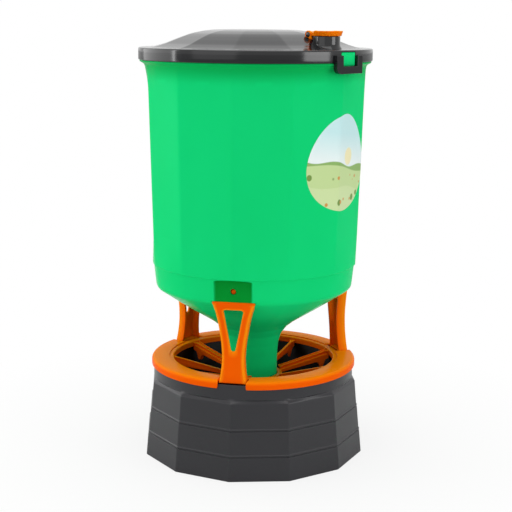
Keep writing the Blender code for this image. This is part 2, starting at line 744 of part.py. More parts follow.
def add_lug(hopper, azimuth):
    """Add the lug that fills a lid loop's window. It stops short of the loop, so the lid lifts off."""
    half_width = LOOP_WINDOW / 2 - LUG_PLAY
    bottom = RIM_BOTTOM - LOOP_DROP + LOOP_BAR
    top = RIM_TOP - LOOP_TOP_BAR - LUG_PLAY
    near = MOUTH_RADIUS - HOPPER_WALL / 2
    lug = prism("lug", rectangle(half_width, bottom, top), near, LID_RADIUS + SEAT - SLIP, azimuth)
    fuse(hopper, lug)


# Lid

def dome_height(radius):
    """Return the height of the dome: a quarter sine wave from its foot to the flat top."""
    share = min(max((DOME_RADIUS - radius) / (DOME_RADIUS - DOME_FLAT), 0.0), 1.0)
    return RIM_TOP + DOME_FOOT + DOME_RISE * math.sin(math.pi / 2 * share ** DOME_POWER)


def lid_path():
    """Return the upper side of the lid, from the top of the dome to the bottom of the rim."""
    path = [(0.0, dome_height(0.0), 1.0)]
    for share in (0.30, 0.44, 0.58, 0.71, 0.82, 0.91, 1.0):
        radius = DOME_RADIUS * share
        path.append((radius, dome_height(radius), 1 - blend(0.0, 1.0, (share - 0.30) / 0.30)))
    rim = fillet((DOME_RADIUS, RIM_TOP), (LID_RADIUS, RIM_TOP), (LID_RADIUS, RIM_BOTTOM), RIM_EDGE, 3)
    path += with_roundness(rim, 1.0)
    path.append((LID_RADIUS, RIM_BOTTOM + RIM_EDGE / 2, 1.0))
    path.append((LID_RADIUS - RIM_EDGE / 3, RIM_BOTTOM, 1.0))
    return path


def make_lid(materials):
    """Make the lid: faceted dome, round rim, filler neck, hinge ears and the two loops."""
    outside = lid_path()
    inside = [(0.0, outside[0][1] - LID_WALL, 1.0)]
    for radius, height, roundness in outside[1:8]:
        inside.append((radius - LID_WALL * 0.4, height - LID_WALL, roundness))
    inner_radius = LID_RADIUS - LID_WALL
    inside.append((inner_radius - LID_WALL / 2, RIM_TOP - LID_WALL, 1.0))
    inside.append((inner_radius, RIM_TOP - LID_WALL * 1.5, 1.0))
    inside.append((inner_radius, RIM_BOTTOM, 1.0))
    made = turned("lid", outside + inside[::-1], materials["lid_grey"])
    add_neck(made)
    for azimuth in (FRONT, REAR):
        add_loop(made, azimuth)
    shade(made, 14)
    return made


def ear_outline():
    """Return an ear's side view as (distance, height): a round head over cheeks that end in the dome."""
    outline = []
    for step in range(EAR_STEPS + 1):
        angle = math.pi * step / EAR_STEPS
        outline.append((PIN_DISTANCE + EAR_RADIUS * math.cos(angle), PIN_HEIGHT + EAR_RADIUS * math.sin(angle)))
    for distance in (PIN_DISTANCE - EAR_RADIUS, PIN_DISTANCE + EAR_RADIUS):
        outline.append((distance, dome_height(distance) - LID_WALL * 0.7))
    return outline


def add_neck(lid):
    """Add the filler neck with its bore, the pocket for the cap's knuckle and the hinge ears."""
    pin_y = -PIN_DISTANCE
    inner = KNUCKLE_WIDTH / 2 + SLIP
    outer = inner + EAR_WIDTH
    fuse(lid, bar("ear", ear_outline(), -outer, -inner))
    fuse(lid, bar("ear", ear_outline(), inner, outer))
    centre = Vector((0.0, -NECK_CENTRE, 0.0))
    up = Vector((0.0, 0.0, 1.0))
    neck_foot = dome_height(NECK_CENTRE + NECK_RADIUS) - LID_WALL / 2
    fuse(lid, rod("neck", NECK_RADIUS, centre + up * neck_foot, centre + up * NECK_TOP, 30))
    cut(lid, rod("bore", NECK_RADIUS - NECK_WALL, centre + up * (RIM_BOTTOM - RIM_HEIGHT),
                 centre + up * (NECK_TOP + RIM_HEIGHT), 30))
    reach = KNUCKLE_WIDTH / 2 + SEAT
    cut(lid, rod("pocket", KNUCKLE_RADIUS + SLIP, (-reach, pin_y, PIN_HEIGHT), (reach, pin_y, PIN_HEIGHT), 20))
    through = outer + EAR_WIDTH
    cut(lid, rod("pin_hole", PIN_RADIUS + SEAT, (-through, pin_y, PIN_HEIGHT), (through, pin_y, PIN_HEIGHT), 18))


def loop_outline():
    """Return the outline of a lid loop, with one well rounded lower corner and one that is nearly sharp."""
    half = LOOP_WIDTH / 2
    bottom = RIM_BOTTOM - LOOP_DROP
    top = RIM_TOP - RIM_EDGE / 2
    outline = [(half, top), (-half, top)]
    outline += fillet((-half, top), (-half, bottom), (half, bottom), LOOP_CORNER, 4)
    outline += fillet((-half, bottom), (half, bottom), (half, top), LOOP_SHARP_CORNER, 2)
    return outline


def add_loop(lid, azimuth):
    """Add a lid loop: a plate in front of the rim with a window that the hopper's lug fills."""
    plate_near = LID_RADIUS + SEAT
    fuse(lid, prism("loop", loop_outline(), plate_near, LOOP_FACE, azimuth))
    behind = rectangle(LOOP_WIDTH / 2 - LOOP_CORNER / 2, RIM_BOTTOM + RIM_EDGE, RIM_TOP - RIM_EDGE)
    fuse(lid, prism("backing", behind, LID_RADIUS - LID_WALL * 0.8, plate_near + LOOP_THICKNESS / 2, azimuth))
    window_bottom = RIM_BOTTOM - LOOP_DROP + LOOP_BAR
    window = rectangle(LOOP_WINDOW / 2, window_bottom, RIM_TOP - LOOP_TOP_BAR)
    cut(lid, prism("window", window, MOUTH_RADIUS, LOOP_FACE + LOOP_THICKNESS, azimuth))


# Filler cap and its pin

def make_cap(materials):
    """Make the filler cap: disc, hollow plug, raised finger lip, hinge tab and knuckle."""
    disc = NECK_RADIUS + CAP_OVERHANG
    bottom = NECK_TOP + SEAT
    top = bottom + CAP_THICKNESS
    plug = NECK_RADIUS - NECK_WALL - SLIP
    plug_bottom = NECK_TOP - CAP_PLUG
    chamfer = CAP_THICKNESS / 8
    profile = [
        (0.0, top), (disc - chamfer, top), (disc, top - chamfer), (disc, bottom), (plug, bottom),
        (plug - SEAT, plug_bottom), (plug - CAP_PLUG_WALL, plug_bottom),
        (plug - CAP_PLUG_WALL, top - CAP_PLUG_WALL), (0.0, top - CAP_PLUG_WALL),
    ]
    made = turned("filler_cap", with_roundness(profile, 1.0), materials["orange"], 30, (0.0, -NECK_CENTRE))
    fuse(made, cap_lip(disc, top))
    half = KNUCKLE_WIDTH / 2
    tab = rectangle(half, NECK_TOP + SEAT * 2, top - chamfer)
    fuse(made, prism("tab", tab, PIN_DISTANCE, NECK_CENTRE - disc * 0.9))
    pin_y = -PIN_DISTANCE
    fuse(made, rod("knuckle", KNUCKLE_RADIUS, (-half, pin_y, PIN_HEIGHT), (half, pin_y, PIN_HEIGHT), 20))
    through = half + EAR_WIDTH
    cut(made, rod("pin_bore", PIN_RADIUS + SEAT, (-through, pin_y, PIN_HEIGHT), (through, pin_y, PIN_HEIGHT), 16))
    for side in (-1, 1):
        start = side * (half + SLIP / 2)
        end = side * (half + EAR_WIDTH + SLIP * 3)
        clearance = rod("ear_space", EAR_RADIUS + SLIP, (start, pin_y, PIN_HEIGHT), (end, pin_y, PIN_HEIGHT), 20)
        cut(made, clearance)
    made.data.transform(Matrix.Translation((0.0, PIN_DISTANCE, -PIN_HEIGHT)))
    made.location = (0.0, -PIN_DISTANCE, PIN_HEIGHT)
    shade(made, 35)
    return made


def cap_lip(disc, top):
    """Return the raised finger lip, which flares over the outer half of the cap."""
    steps = 12
    inner = disc - CAP_LIP_WIDTH
    outer = disc + CAP_LIP_REACH
    low = top - CAP_LIP_HEIGHT
    high = top + CAP_LIP_HEIGHT
    outline = [(inner, low), (disc - SEAT, low), (outer, top + CAP_LIP_HEIGHT * 0.6),
               (outer - SEAT, high), (inner + SEAT, high)]
    centre = Vector((0.0, -NECK_CENTRE, 0.0))
    sections = []
    for step in range(steps + 1):
        azimuth = -CAP_LIP_ARC + 2 * CAP_LIP_ARC * step / steps
        sections.append([polar(radius, azimuth, height) + centre for radius, height in outline])
    return swept("finger_lip", sections)


def make_pin(materials):
    """Make the hinge pin, which runs through both ears and the cap's knuckle."""
    half = KNUCKLE_WIDTH / 2 + SLIP + EAR_WIDTH
    made = rod("cap_hinge_pin", PIN_RADIUS, (-half, 0.0, 0.0), (half, 0.0, 0.0), 16, materials["pin_black"])
    made.location = (0.0, -PIN_DISTANCE, PIN_HEIGHT)
    shade(made)
    return made


# Assembly

def make_empty(name, location, parent=None):
    """Make an empty that carries a group of pieces, at a place in the feeder's own frame."""
    empty = bpy.data.objects.new(name, None)
    bpy.context.scene.collection.objects.link(empty)
    empty.parent = parent
    offset = parent.matrix_world.translation if parent else Vector((0.0, 0.0, 0.0))
    empty.location = Vector(location) - offset
    bpy.context.view_layer.update()
    return empty


def carry(empty, pieces):
    """Parent pieces to an empty and leave them where they are."""
    for piece in pieces:
        piece.parent = empty
        piece.matrix_parent_inverse = empty.matrix_world.inverted()


def main():
    """Build the feeder."""
    for old in list(bpy.data.objects):
        bpy.data.objects.remove(old)
    materials = make_materials()
    base = make_empty("base_frame", (0.0, 0.0, 0.0))
    carry(base, [make_pedestal(materials), make_pan(materials)])
    tower = make_empty("tower_frame", (0.0, 0.0, RING_SEAT), base)
    carry(tower, [make_ring(materials), make_hub(materials), make_hopper(materials)])
    carry(tower, make_spokes(materials))
    carry(tower, [make_leg(name, azimuth, materials) for name, azimuth in LEG_AZIMUTHS.items()])
    lid = make_empty("lid_frame", (0.0, 0.0, RIM_BOTTOM), tower)
    carry(lid, [make_lid(materials), make_pin(materials)])
    cap = make_empty("cap_axis", (0.0, -PIN_DISTANCE, PIN_HEIGHT), lid)
    carry(cap, [make_cap(materials)])


if __name__ == "__main__":
    main()
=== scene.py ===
"""Dressed model of a free-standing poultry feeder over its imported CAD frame.

Units are metres, +Z is up and the front, with the filler neck, faces -Y. An azimuth is measured from
the front towards +X, so a point at azimuth a and radius r lies at (r sin a, -r cos a). Each
sub-assembly is a class that holds its sizes, works out its surfaces as whole numpy arrays and gives
each finished piece to the CAD body that it rides on.
"""

import json
import logging
import math
from dataclasses import dataclass
from enum import Enum

import bmesh
import bpy
import numpy as np
from mathutils import Matrix, Vector

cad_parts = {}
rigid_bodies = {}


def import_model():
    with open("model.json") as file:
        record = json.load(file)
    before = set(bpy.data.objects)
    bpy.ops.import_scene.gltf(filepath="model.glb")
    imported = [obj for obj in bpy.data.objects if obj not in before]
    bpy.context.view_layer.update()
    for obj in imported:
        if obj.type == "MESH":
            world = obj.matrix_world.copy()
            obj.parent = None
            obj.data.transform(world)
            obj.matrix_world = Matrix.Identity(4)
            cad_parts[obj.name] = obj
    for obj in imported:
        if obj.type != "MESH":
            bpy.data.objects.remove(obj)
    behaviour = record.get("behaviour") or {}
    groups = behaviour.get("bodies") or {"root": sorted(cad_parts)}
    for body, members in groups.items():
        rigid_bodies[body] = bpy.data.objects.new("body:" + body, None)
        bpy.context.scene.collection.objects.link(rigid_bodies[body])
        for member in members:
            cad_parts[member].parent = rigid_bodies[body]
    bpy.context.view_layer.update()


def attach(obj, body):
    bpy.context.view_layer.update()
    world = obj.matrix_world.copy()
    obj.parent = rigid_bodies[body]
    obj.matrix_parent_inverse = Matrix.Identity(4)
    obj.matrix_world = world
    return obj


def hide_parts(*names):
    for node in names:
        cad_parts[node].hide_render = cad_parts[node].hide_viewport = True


LOG = logging.getLogger("poultry_feeder")
FULL_TURN = 2.0 * math.pi
SIDES = 12
SECTOR = FULL_TURN / SIDES
HALF_SECTOR = SECTOR / 2.0
FRONT = 0.0
REAR = math.pi
LEG_AZIMUTHS = {"leg_rear": math.pi, "leg_left": -math.pi / 3.0, "leg_right": math.pi / 3.0}
NECK_OUT = 0.1153
PIN_OUT = 0.0933
PIN_HEIGHT = 0.5501
WHITE = (1.0, 1.0, 1.0)
Colour = tuple[float, float, float]
Place = tuple[float, float, float]
Value = np.ndarray | float


class Body(Enum):
    """CAD bodies that the pieces ride on."""

    BASE = "base"
    TOWER = "tower"
    TOP = "top"
    CAP = "cap"


class Slot(Enum):
    """Material slots of the record."""

    GREEN = "green"
    ORANGE = "orange"
    LID_GREY = "lid_grey"
    BASE_GREY = "base_grey"
    PAN_GREY = "pan_grey"
    PIN_BLACK = "pin_black"


# Finishes


class NodePad:
    """Short hand for the node tree of one material or world."""

    def __init__(self, owner: bpy.types.Material | bpy.types.World, shader: str = "Principled BSDF") -> None:
        """Start with the two nodes that the owner comes with, its output and its shader.

        Args:
            owner: The material or world.
            shader: The name of its shader node.
        """
        owner.use_nodes = True
        self.tree = owner.node_tree
        self.shader = self.tree.nodes[shader]

    def feed(self, socket: bpy.types.NodeSocket, value: object) -> None:
        """Link an input socket to an output one, or set its value, a colour without its alpha."""
        if isinstance(value, bpy.types.NodeSocket):
            self.tree.links.new(value, socket)
        else:
            socket.default_value = (*value, 1.0) if socket.type == "RGBA" else value

    def fill(self, node: bpy.types.Node, **sockets: object) -> bpy.types.Node:
        """Feed the inputs of a node, whose names have _ for a space, and give the node back."""
        for name, value in sockets.items():
            self.feed(node.inputs[name.replace("_", " ")], value)
        return node

    def add(self, kind: str, **sockets: object) -> bpy.types.Node:
        """Add a node of a kind, whose type name is given without its prefix, and feed its inputs."""
        return self.fill(self.tree.nodes.new("ShaderNode" + kind), **sockets)

    def worked(self, kind: str, operation: str, *inputs: object) -> bpy.types.Node:
        """Add a Math or Vector Math node.

        Args:
            kind: The node's type name without its prefix.
            operation: The operation's name.
            *inputs: The first values or sockets, in order.

        Returns:
            The new node.
        """
        node = self.add(kind)
        node.operation = operation
        for socket, value in zip(node.inputs, inputs):
            self.feed(socket, value)
        return node

    def math(self, operation: str, *inputs: object) -> bpy.types.NodeSocket:
        """Add a Math node and give its result."""
        return self.worked("Math", operation, *inputs).outputs[0]

    def mix(self, share: object, first: object, second: object) -> bpy.types.NodeSocket:
        """Mix two colours.

        Args:
            share: How much of the second colour there is.
            first: The first colour or socket.
            second: The second colour or socket.

        Returns:
            The mixed colour's socket.
        """
        node = self.add("Mix")
        node.data_type = "RGBA"
        self.feed(node.inputs[0], share)
        self.feed(node.inputs[6], first)
        self.feed(node.inputs[7], second)
        return node.outputs[2]

    def ramp(self, fed_by: bpy.types.NodeSocket, start: float, end: float,
             falls: bool = False) -> bpy.types.NodeSocket:
        """Map a value to a share that goes from 0 to 1 between two places, or from 1 to 0.

        Args:
            fed_by: The value.
            start: Where the share leaves its first level.
            end: Where it reaches its last level.
            falls: Whether it falls.

        Returns:
            The share's socket.
        """
        node = self.add("ValToRGB", Fac=fed_by)
        levels = (1.0, 0.0) if falls else (0.0, 1.0)
        for point, place, level in zip(node.color_ramp.elements, (start, end), levels):
            point.position = place
            point.color = (level, level, level, 1.0)
        return node.outputs[0]

    def noise(self, scale: float, detail: float, stretch: Place = (1, 1, 1)) -> bpy.types.NodeSocket:
        """Add noise on the object's own coordinates.

        Args:
            scale: Waves to the metre.
            detail: Octaves of finer noise.
            stretch: Scale along each axis.

        Returns:
            The noise value's socket.
        """
        place = self.add("TexCoord").outputs["Object"]
        mapped = self.add("Mapping", Vector=place, Scale=stretch).outputs["Vector"]
        return self.add("TexNoise", Vector=mapped, Scale=scale, Detail=detail).outputs[0]

    def bump(self, height: bpy.types.NodeSocket, distance: float, strength: float) -> None:
        """Feed the shader's normal from a height: its depth in metres and the share that shows."""
        node = self.add("Bump", Height=height, Distance=distance, Strength=strength)
        self.fill(self.shader, Normal=node.outputs[0])


@dataclass(frozen=True)
class MouldedPlastic:
    """Injection-moulded plastic: a body colour that drifts slightly, a shine and the mould's texture.

    A finish with a painted top highlight takes its paler colour on the faces that look up, by the object's
    own normal, as a painted highlight. One with a layer takes the painted colour by the share that the
    layer holds on the mesh.
    """

    name: str
    colour: Colour
    shade: Colour
    roughness: float
    specular: float
    scuff: float = 0.02
    scatter: float = 0.0
    scatter_radius: Colour = (0.3, 1.0, 0.4)
    scatter_scale: float = 0.003
    # Paler colour on the faces that look up: a painted highlight.
    painted_top_highlight: Colour | None = None
    layer: str = ""
    painted: Colour = WHITE
    ripple: float = 160.0
    ripple_depth: float = 0.000012
    grain: float = 0.0
    grain_depth: float = 0.00002

    def make(self) -> bpy.types.Material:
        """Build the material: colour drift along the flow, faint rubbed patches, sink ripple and grain.

        Returns:
            The material.
        """
        material = bpy.data.materials.new(self.name)
        pad = NodePad(material)
        colour = pad.mix(pad.ramp(pad.noise(5.0, 3.0, (1.0, 1.0, 0.4)), 0.35, 0.68), self.shade, self.colour)
        # Painted highlight on the faces that look up.
        if self.painted_top_highlight is not None:
            normal = pad.add("TexCoord").outputs["Normal"]
            upward = pad.add("SeparateXYZ", Vector=normal).outputs[2]
            colour = pad.mix(pad.ramp(upward, 0.05, 0.95), colour, self.painted_top_highlight)
        # The layer's share lays on the painted colour: painted shade on the green, a painted highlight on the
        # legs.
        if self.layer:
            share = pad.add("Attribute")
            share.attribute_name = self.layer
            colour = pad.mix(share.outputs["Fac"], colour, self.painted)
        rubbed = pad.ramp(pad.noise(26.0, 5.0, (1.0, 1.0, 0.5)), 0.35, 0.75)
        rough = pad.math("ADD", pad.math("MULTIPLY", rubbed, self.scuff), self.roughness)
        pad.fill(pad.shader, Base_Color=colour, Roughness=rough, Specular_IOR_Level=self.specular)
        if self.scatter > 0.0:
            pad.fill(pad.shader, Subsurface_Weight=self.scatter, Subsurface_Radius=self.scatter_radius,
                     Subsurface_Scale=self.scatter_scale)
        relief = pad.math("MULTIPLY", pad.noise(self.ripple, 1.0), self.ripple_depth)
        if self.grain > 0.0:
            fine = pad.math("MULTIPLY", pad.noise(self.grain, 2.0), self.grain_depth)
            relief = pad.math("ADD", relief, fine)
        pad.bump(relief, 1.0, 0.6)
        return material


@dataclass(frozen=True)
class PrintedFilm:
    """Glossy printed film: a pale sky with a low sun over rolling fields with scattered tufts and grain."""

    sky: Colour = (0.57, 0.84, 0.85)
    haze: Colour = (0.84, 0.93, 0.92)
    sun: Colour = (0.90, 0.84, 0.50)
    sun_place: Place = (0.60, 0.57, 0.0)
    far_field: Colour = (0.26, 0.45, 0.12)
    near_field: Colour = (0.55, 0.71, 0.31)
    front_field: Colour = (0.62, 0.76, 0.38)
    tuft: Colour = (0.17, 0.30, 0.05)
    grain: Colour = (0.62, 0.30, 0.06)

    def make(self) -> bpy.types.Material:
        """Build the material on the film's own UV map, where v runs from its foot to its top.

        Each field lies below a line that is its height plus a sine wave of u.

        Returns:
            The material.
        """
        material = bpy.data.materials.new("printed_film")
        pad = NodePad(material)
        place = pad.add("UVMap").outputs[0]
        across, up = pad.add("SeparateXYZ", Vector=place).outputs[:2]
        colour = pad.mix(pad.ramp(up, 0.50, 0.80), self.haze, self.sky)
        off_sun = pad.worked("VectorMath", "DISTANCE", place, self.sun_place).outputs["Value"]
        colour = pad.mix(pad.ramp(off_sun, 0.085, 0.095, falls=True), colour, self.sun)
        fields = [(0.485, 0.020, 11.0, 0.8, self.far_field), (0.445, 0.022, 6.0, 2.6, self.near_field),
                  (0.240, 0.024, 7.0, 0.3, self.front_field)]
        for height, swell, waves, start, crop in fields:
            phase = pad.math("ADD", pad.math("MULTIPLY", across, waves), start)
            line = pad.math("ADD", up, pad.math("MULTIPLY", pad.math("SINE", phase), swell))
            below = pad.ramp(line, height - 0.004, height + 0.004, falls=True)
            colour = pad.mix(below, colour, crop)
        low = pad.ramp(up, 0.37, 0.41, falls=True)
        for scale, size, speck in ((7.0, 0.22, self.tuft), (11.0, 0.20, self.grain)):
            spots = pad.add("TexVoronoi", Vector=place, Scale=scale, Randomness=0.75)
            spot = pad.ramp(spots.outputs["Distance"], size, size + 0.04, falls=True)
            colour = pad.mix(pad.math("MULTIPLY", spot, low), colour, speck)
        pad.fill(pad.shader, Base_Color=colour, Roughness=0.32, Specular_IOR_Level=0.3)
        pad.bump(pad.noise(220.0, 2.0), 0.00001, 0.4)
        return material


class Finishes:
    """The finishes of the feeder: one for each slot, one for the film and the cap's clearer orange.

    Each is given by its name, colour, shade, roughness and specular level. The green takes painted shade in
    the leg pockets and under the lip, and the legs take a painted highlight along their rounded rims. The
    orange and the cap take a painted highlight on the faces that look up, and the pan's near-black grey is
    painted shade for its shadowed inside.
    """

    def __init__(self) -> None:
        """Build every material once."""
        slots = {
            # The darker green that the green's layer lays on is painted shade, in the leg pockets and under
            # the lip.
            Slot.GREEN: MouldedPlastic("leaf_green_gloss", (0.008, 0.700, 0.208), (0.006, 0.660, 0.185),
                                       0.18, 0.008, scatter=0.12, layer="painted_shade",
                                       painted=(0.002, 0.285, 0.030)),
            # The paler orange on the faces that look up is a painted highlight.
            Slot.ORANGE: MouldedPlastic("signal_orange", (0.930, 0.118, 0.0005), (0.890, 0.104, 0.0005),
                                        0.26, 0.012, scatter=0.05, painted_top_highlight=(0.990, 0.235, 0.002),
                                        # The paler orange that this layer lays on is a painted highlight
                                        # along the legs' rims.
                                        layer="painted_rim_highlight", painted=(0.990, 0.270, 0.004)),
            Slot.LID_GREY: MouldedPlastic("graphite_gloss", (0.0070, 0.0074, 0.0086),
                                          (0.0058, 0.0062, 0.0072), 0.12, 0.48),
            Slot.BASE_GREY: MouldedPlastic("graphite_satin", (0.0205, 0.0200, 0.0240),
                                           (0.0175, 0.0170, 0.0205), 0.33, 0.40, grain=1500.0, scuff=0.06),
            # The pan's grey is darkened to near black: painted shade for the shadowed inside of the pan.
            Slot.PAN_GREY: MouldedPlastic("graphite_pan_painted_shade", (0.0036, 0.0029, 0.0028),
                                          (0.0028, 0.0023, 0.0022), 0.42, 0.10, grain=1200.0),
            Slot.PIN_BLACK: MouldedPlastic("pin_black", (0.006, 0.006, 0.007), (0.005, 0.005, 0.005),
                                           0.10, 0.60),
        }
        self.by_slot = {slot: plastic.make() for slot, plastic in slots.items()}
        self.film = PrintedFilm().make()
        # The cap's paler orange on the faces that look up is a painted highlight.
        self.cap = MouldedPlastic("cap_orange", (0.995, 0.225, 0.0010), (0.970, 0.200, 0.0010),
                                  0.24, 0.02, scatter=0.28, painted_top_highlight=(0.995, 0.340, 0.004)).make()


# Shapes


def smooth(share: np.ndarray) -> np.ndarray:
    """Smooth step: 3 s squared minus 2 s cubed, held between 0 and 1."""
    held = np.clip(share, 0.0, 1.0)
    return held * held * (3.0 - 2.0 * held)


def full_turn(columns: int) -> np.ndarray:
    """Azimuths once round, evenly spaced, without the last that closes the turn."""
    return np.linspace(0.0, FULL_TURN, columns, endpoint=False)


def turn_from(azimuths: np.ndarray, centre: float) -> np.ndarray:
    """Signed angle from a centre to each azimuth, at most half a turn."""
    return np.mod(azimuths - centre + math.pi, FULL_TURN) - math.pi


def facet_azimuths(per_side: int, bend: float) -> np.ndarray:
    """Azimuths once round a twelve-sided piece, closer together at its corners.

    Args:
        per_side: Columns on the flat of each side.
        bend: Half the angle that is closely sampled at each corner.

    Returns:
        Azimuths from the front, without the last that closes the turn.
    """
    corner = np.linspace(-bend, bend, 9)
    flat = np.linspace(bend, SECTOR - bend, per_side + 2)[1:-1]
    one = np.concatenate([corner, flat])
    return (one[None, :] + SECTOR * np.arange(SIDES)[:, None]).ravel()


def with_columns(azimuths: np.ndarray, extra: np.ndarray) -> np.ndarray:
    """Azimuths with extra ones put in, in order once round and without doubles."""
    return np.unique(np.round(np.mod(np.concatenate([azimuths, extra]), FULL_TURN), 6))


def facet_radius(azimuth: np.ndarray, corner: np.ndarray, rounding: np.ndarray,
                 roundness: np.ndarray) -> np.ndarray:
    """Radius of a twelve-sided outline with rounded corners, mixed towards its circle.

    With a the distance of a side from the axis, the side lies at a / cos(angle from its middle). Near
    a corner the outline is an arc of the rounding, whose centre lies on the corner line where two
    sides, moved in by the rounding, would meet.

    Args:
        azimuth: Azimuths, along the last axis.
        corner: Radius of the sharp corners.
        rounding: Radius of the arc at each corner.
        roundness: 0 for the polygon, 1 for the circle through its corners.

    Returns:
        The radius for each azimuth.
    """
    turn = np.mod(azimuth, SECTOR)
    off = np.minimum(turn, SECTOR - turn)
    side = corner * math.cos(HALF_SECTOR)
    flat = side / np.cos(HALF_SECTOR - off)
    centre = (side - rounding) / math.cos(HALF_SECTOR)
    arc = centre * np.cos(off) + np.sqrt(np.maximum(rounding ** 2 - (centre * np.sin(off)) ** 2, 0.0))
    reach = np.arctan2(rounding * math.sin(HALF_SECTOR), centre + rounding * math.cos(HALF_SECTOR))
    polygon = np.where(off < reach, arc, flat)
    return polygon + (corner - polygon) * roundness


def faceted(path: np.ndarray, azimuths: np.ndarray) -> np.ndarray:
    """Radii by row and column of a path of corner radius, height, roundness and corner rounding."""
    return facet_radius(azimuths[None], path[:, 0:1], path[:, 3:4], path[:, 2:3])


def around(radius: np.ndarray, azimuth: np.ndarray, height: np.ndarray) -> np.ndarray:
    """Points at a radius and azimuth about the main axis: (r sin a, -r cos a, z)."""
    radius, azimuth, height = np.broadcast_arrays(radius, azimuth, height)
    return np.stack([radius * np.sin(azimuth), -radius * np.cos(azimuth), height], axis=-1)


def turned(path: np.ndarray, columns: int, out: float = 0.0) -> np.ndarray:
    """Carry a path of radius and height round a vertical axis that stands so far out at the front."""
    return around(path[:, 0:1], full_turn(columns)[None, :], path[:, 1:2]) + np.array([0.0, -out, 0.0])


def placed(across: Value, out: Value, height: Value, azimuth: float) -> np.ndarray:
    """Points given by how far they lie across, out from the axis and up, turned to an azimuth.

    Args:
        across: Distance along the tangent, towards a greater azimuth.
        out: Distance from the axis along the azimuth.
        height: Height.
        azimuth: The azimuth that the piece faces.

    Returns:
        The points.
    """
    across, out, height = np.broadcast_arrays(across, out, height)
    sine, cosine = math.sin(azimuth), math.cos(azimuth)
    return np.stack([out * sine + across * cosine, -out * cosine + across * sine, height], axis=-1)


def rectangle(half: float, bottom: float, top: float) -> np.ndarray:
    """Corners of an upright rectangle as across and height."""
    return np.array([(-half, bottom), (half, bottom), (half, top), (-half, top)])


def mirrored(outline: np.ndarray) -> np.ndarray:
    """The other half of a symmetric flat outline, in the order in which the outline goes on."""
    return outline[::-1] * np.array([-1.0, 1.0])


def rounded_path(corners: list[tuple[float, ...]], steps: int) -> np.ndarray:
    """Polyline with each corner turned into an arc of its own radius.

    The first two numbers of a corner are its place, the third is its arc's radius and any others are
    carried along in proportion. The arc runs between the two points where it touches the lines.

    Args:
        corners: The corners in order. The first and last are kept as they are.
        steps: Pieces in each arc.

    Returns:
        The path's points, without the radius column.
    """
    given = np.array(corners, dtype=float)
    place, radius, extra = given[:, :2], given[:, 2], given[:, 3:]
    pieces = [np.concatenate([place[:1], extra[:1]], axis=1)]
    for index in range(1, len(given) - 1):
        here = place[index]
        back = place[index - 1] - here
        on = place[index + 1] - here
        back_length = np.linalg.norm(back)
        on_length = np.linalg.norm(on)
        back = back / back_length
        on = on / on_length
        angle = math.acos(float(np.clip(back @ on, -1.0, 1.0)))
        if radius[index] < 1e-7 or angle > math.pi - 1e-3:
            pieces.append(np.concatenate([here, extra[index]])[None])
            continue
        reach = min(radius[index] / math.tan(angle / 2.0), 0.49 * min(back_length, on_length))
        arc_radius = reach * math.tan(angle / 2.0)
        middle = (back + on) / np.linalg.norm(back + on)
        centre = here + middle * arc_radius / math.sin(angle / 2.0)
        start = here + back * reach - centre
        end = here + on * reach - centre
        span = math.pi - angle
        share = np.linspace(0.0, 1.0, steps + 1)[:, None]
        arc = centre + (np.sin((1.0 - share) * span) * start + np.sin(share * span) * end) / math.sin(span)
        lean = (share - 0.5) * 2.0 * reach
        toward_on = np.where(lean > 0.0, lean / on_length, 0.0)
        toward_back = np.where(lean < 0.0, -lean / back_length, 0.0)
        carried = extra[index] * (1.0 - toward_on - toward_back)
        carried = carried + extra[index + 1] * toward_on + extra[index - 1] * toward_back
        pieces.append(np.concatenate([arc, carried], axis=1))
    pieces.append(np.concatenate([place[-1:], extra[-1:]], axis=1))
    return np.concatenate(pieces)


def fine_path(path: np.ndarray, longest: float) -> np.ndarray:
    """Split the long pieces of a path so that none is longer than a length.

    Args:
        path: The path's points, with any carried numbers after the first two.
        longest: The longest piece that may stay.

    Returns:
        The finer path.
    """
    lengths = np.linalg.norm(np.diff(path[:, :2], axis=0), axis=1)
    counts = np.maximum(np.ceil(lengths / longest).astype(int), 1)
    parts = [path[index] + (path[index + 1] - path[index]) * np.arange(count)[:, None] / count
             for index, count in enumerate(counts)]
    return np.concatenate(parts + [path[-1:]])


def closed_path(corners: list[tuple[float, ...]], steps: int) -> np.ndarray:
    """Closed polyline with rounded corners, without the extra corner at each end of the path."""
    return rounded_path([corners[-1]] + corners + [corners[0]], steps)[1:-1]


def linked(name: str, data: bpy.types.ID) -> bpy.types.Object:
    """Make an object of some data and put it into the scene."""
    made = bpy.data.objects.new(name, data)
    bpy.context.scene.collection.objects.link(made)
    return made


def vertex_points(piece: bpy.types.Object) -> np.ndarray:
    """Read the places of a mesh's vertices, one row each."""
    points = np.empty((len(piece.data.vertices), 3))
    piece.data.vertices.foreach_get("co", points.reshape(-1))
    return points


def paint(piece: bpy.types.Object, layer_name: str, values: np.ndarray) -> None:
    """Write a value for each vertex on a mesh, as an attribute that its material reads."""
    layer = piece.data.attributes.new(layer_name, "FLOAT", "POINT")
    layer.data.foreach_set("value", values)


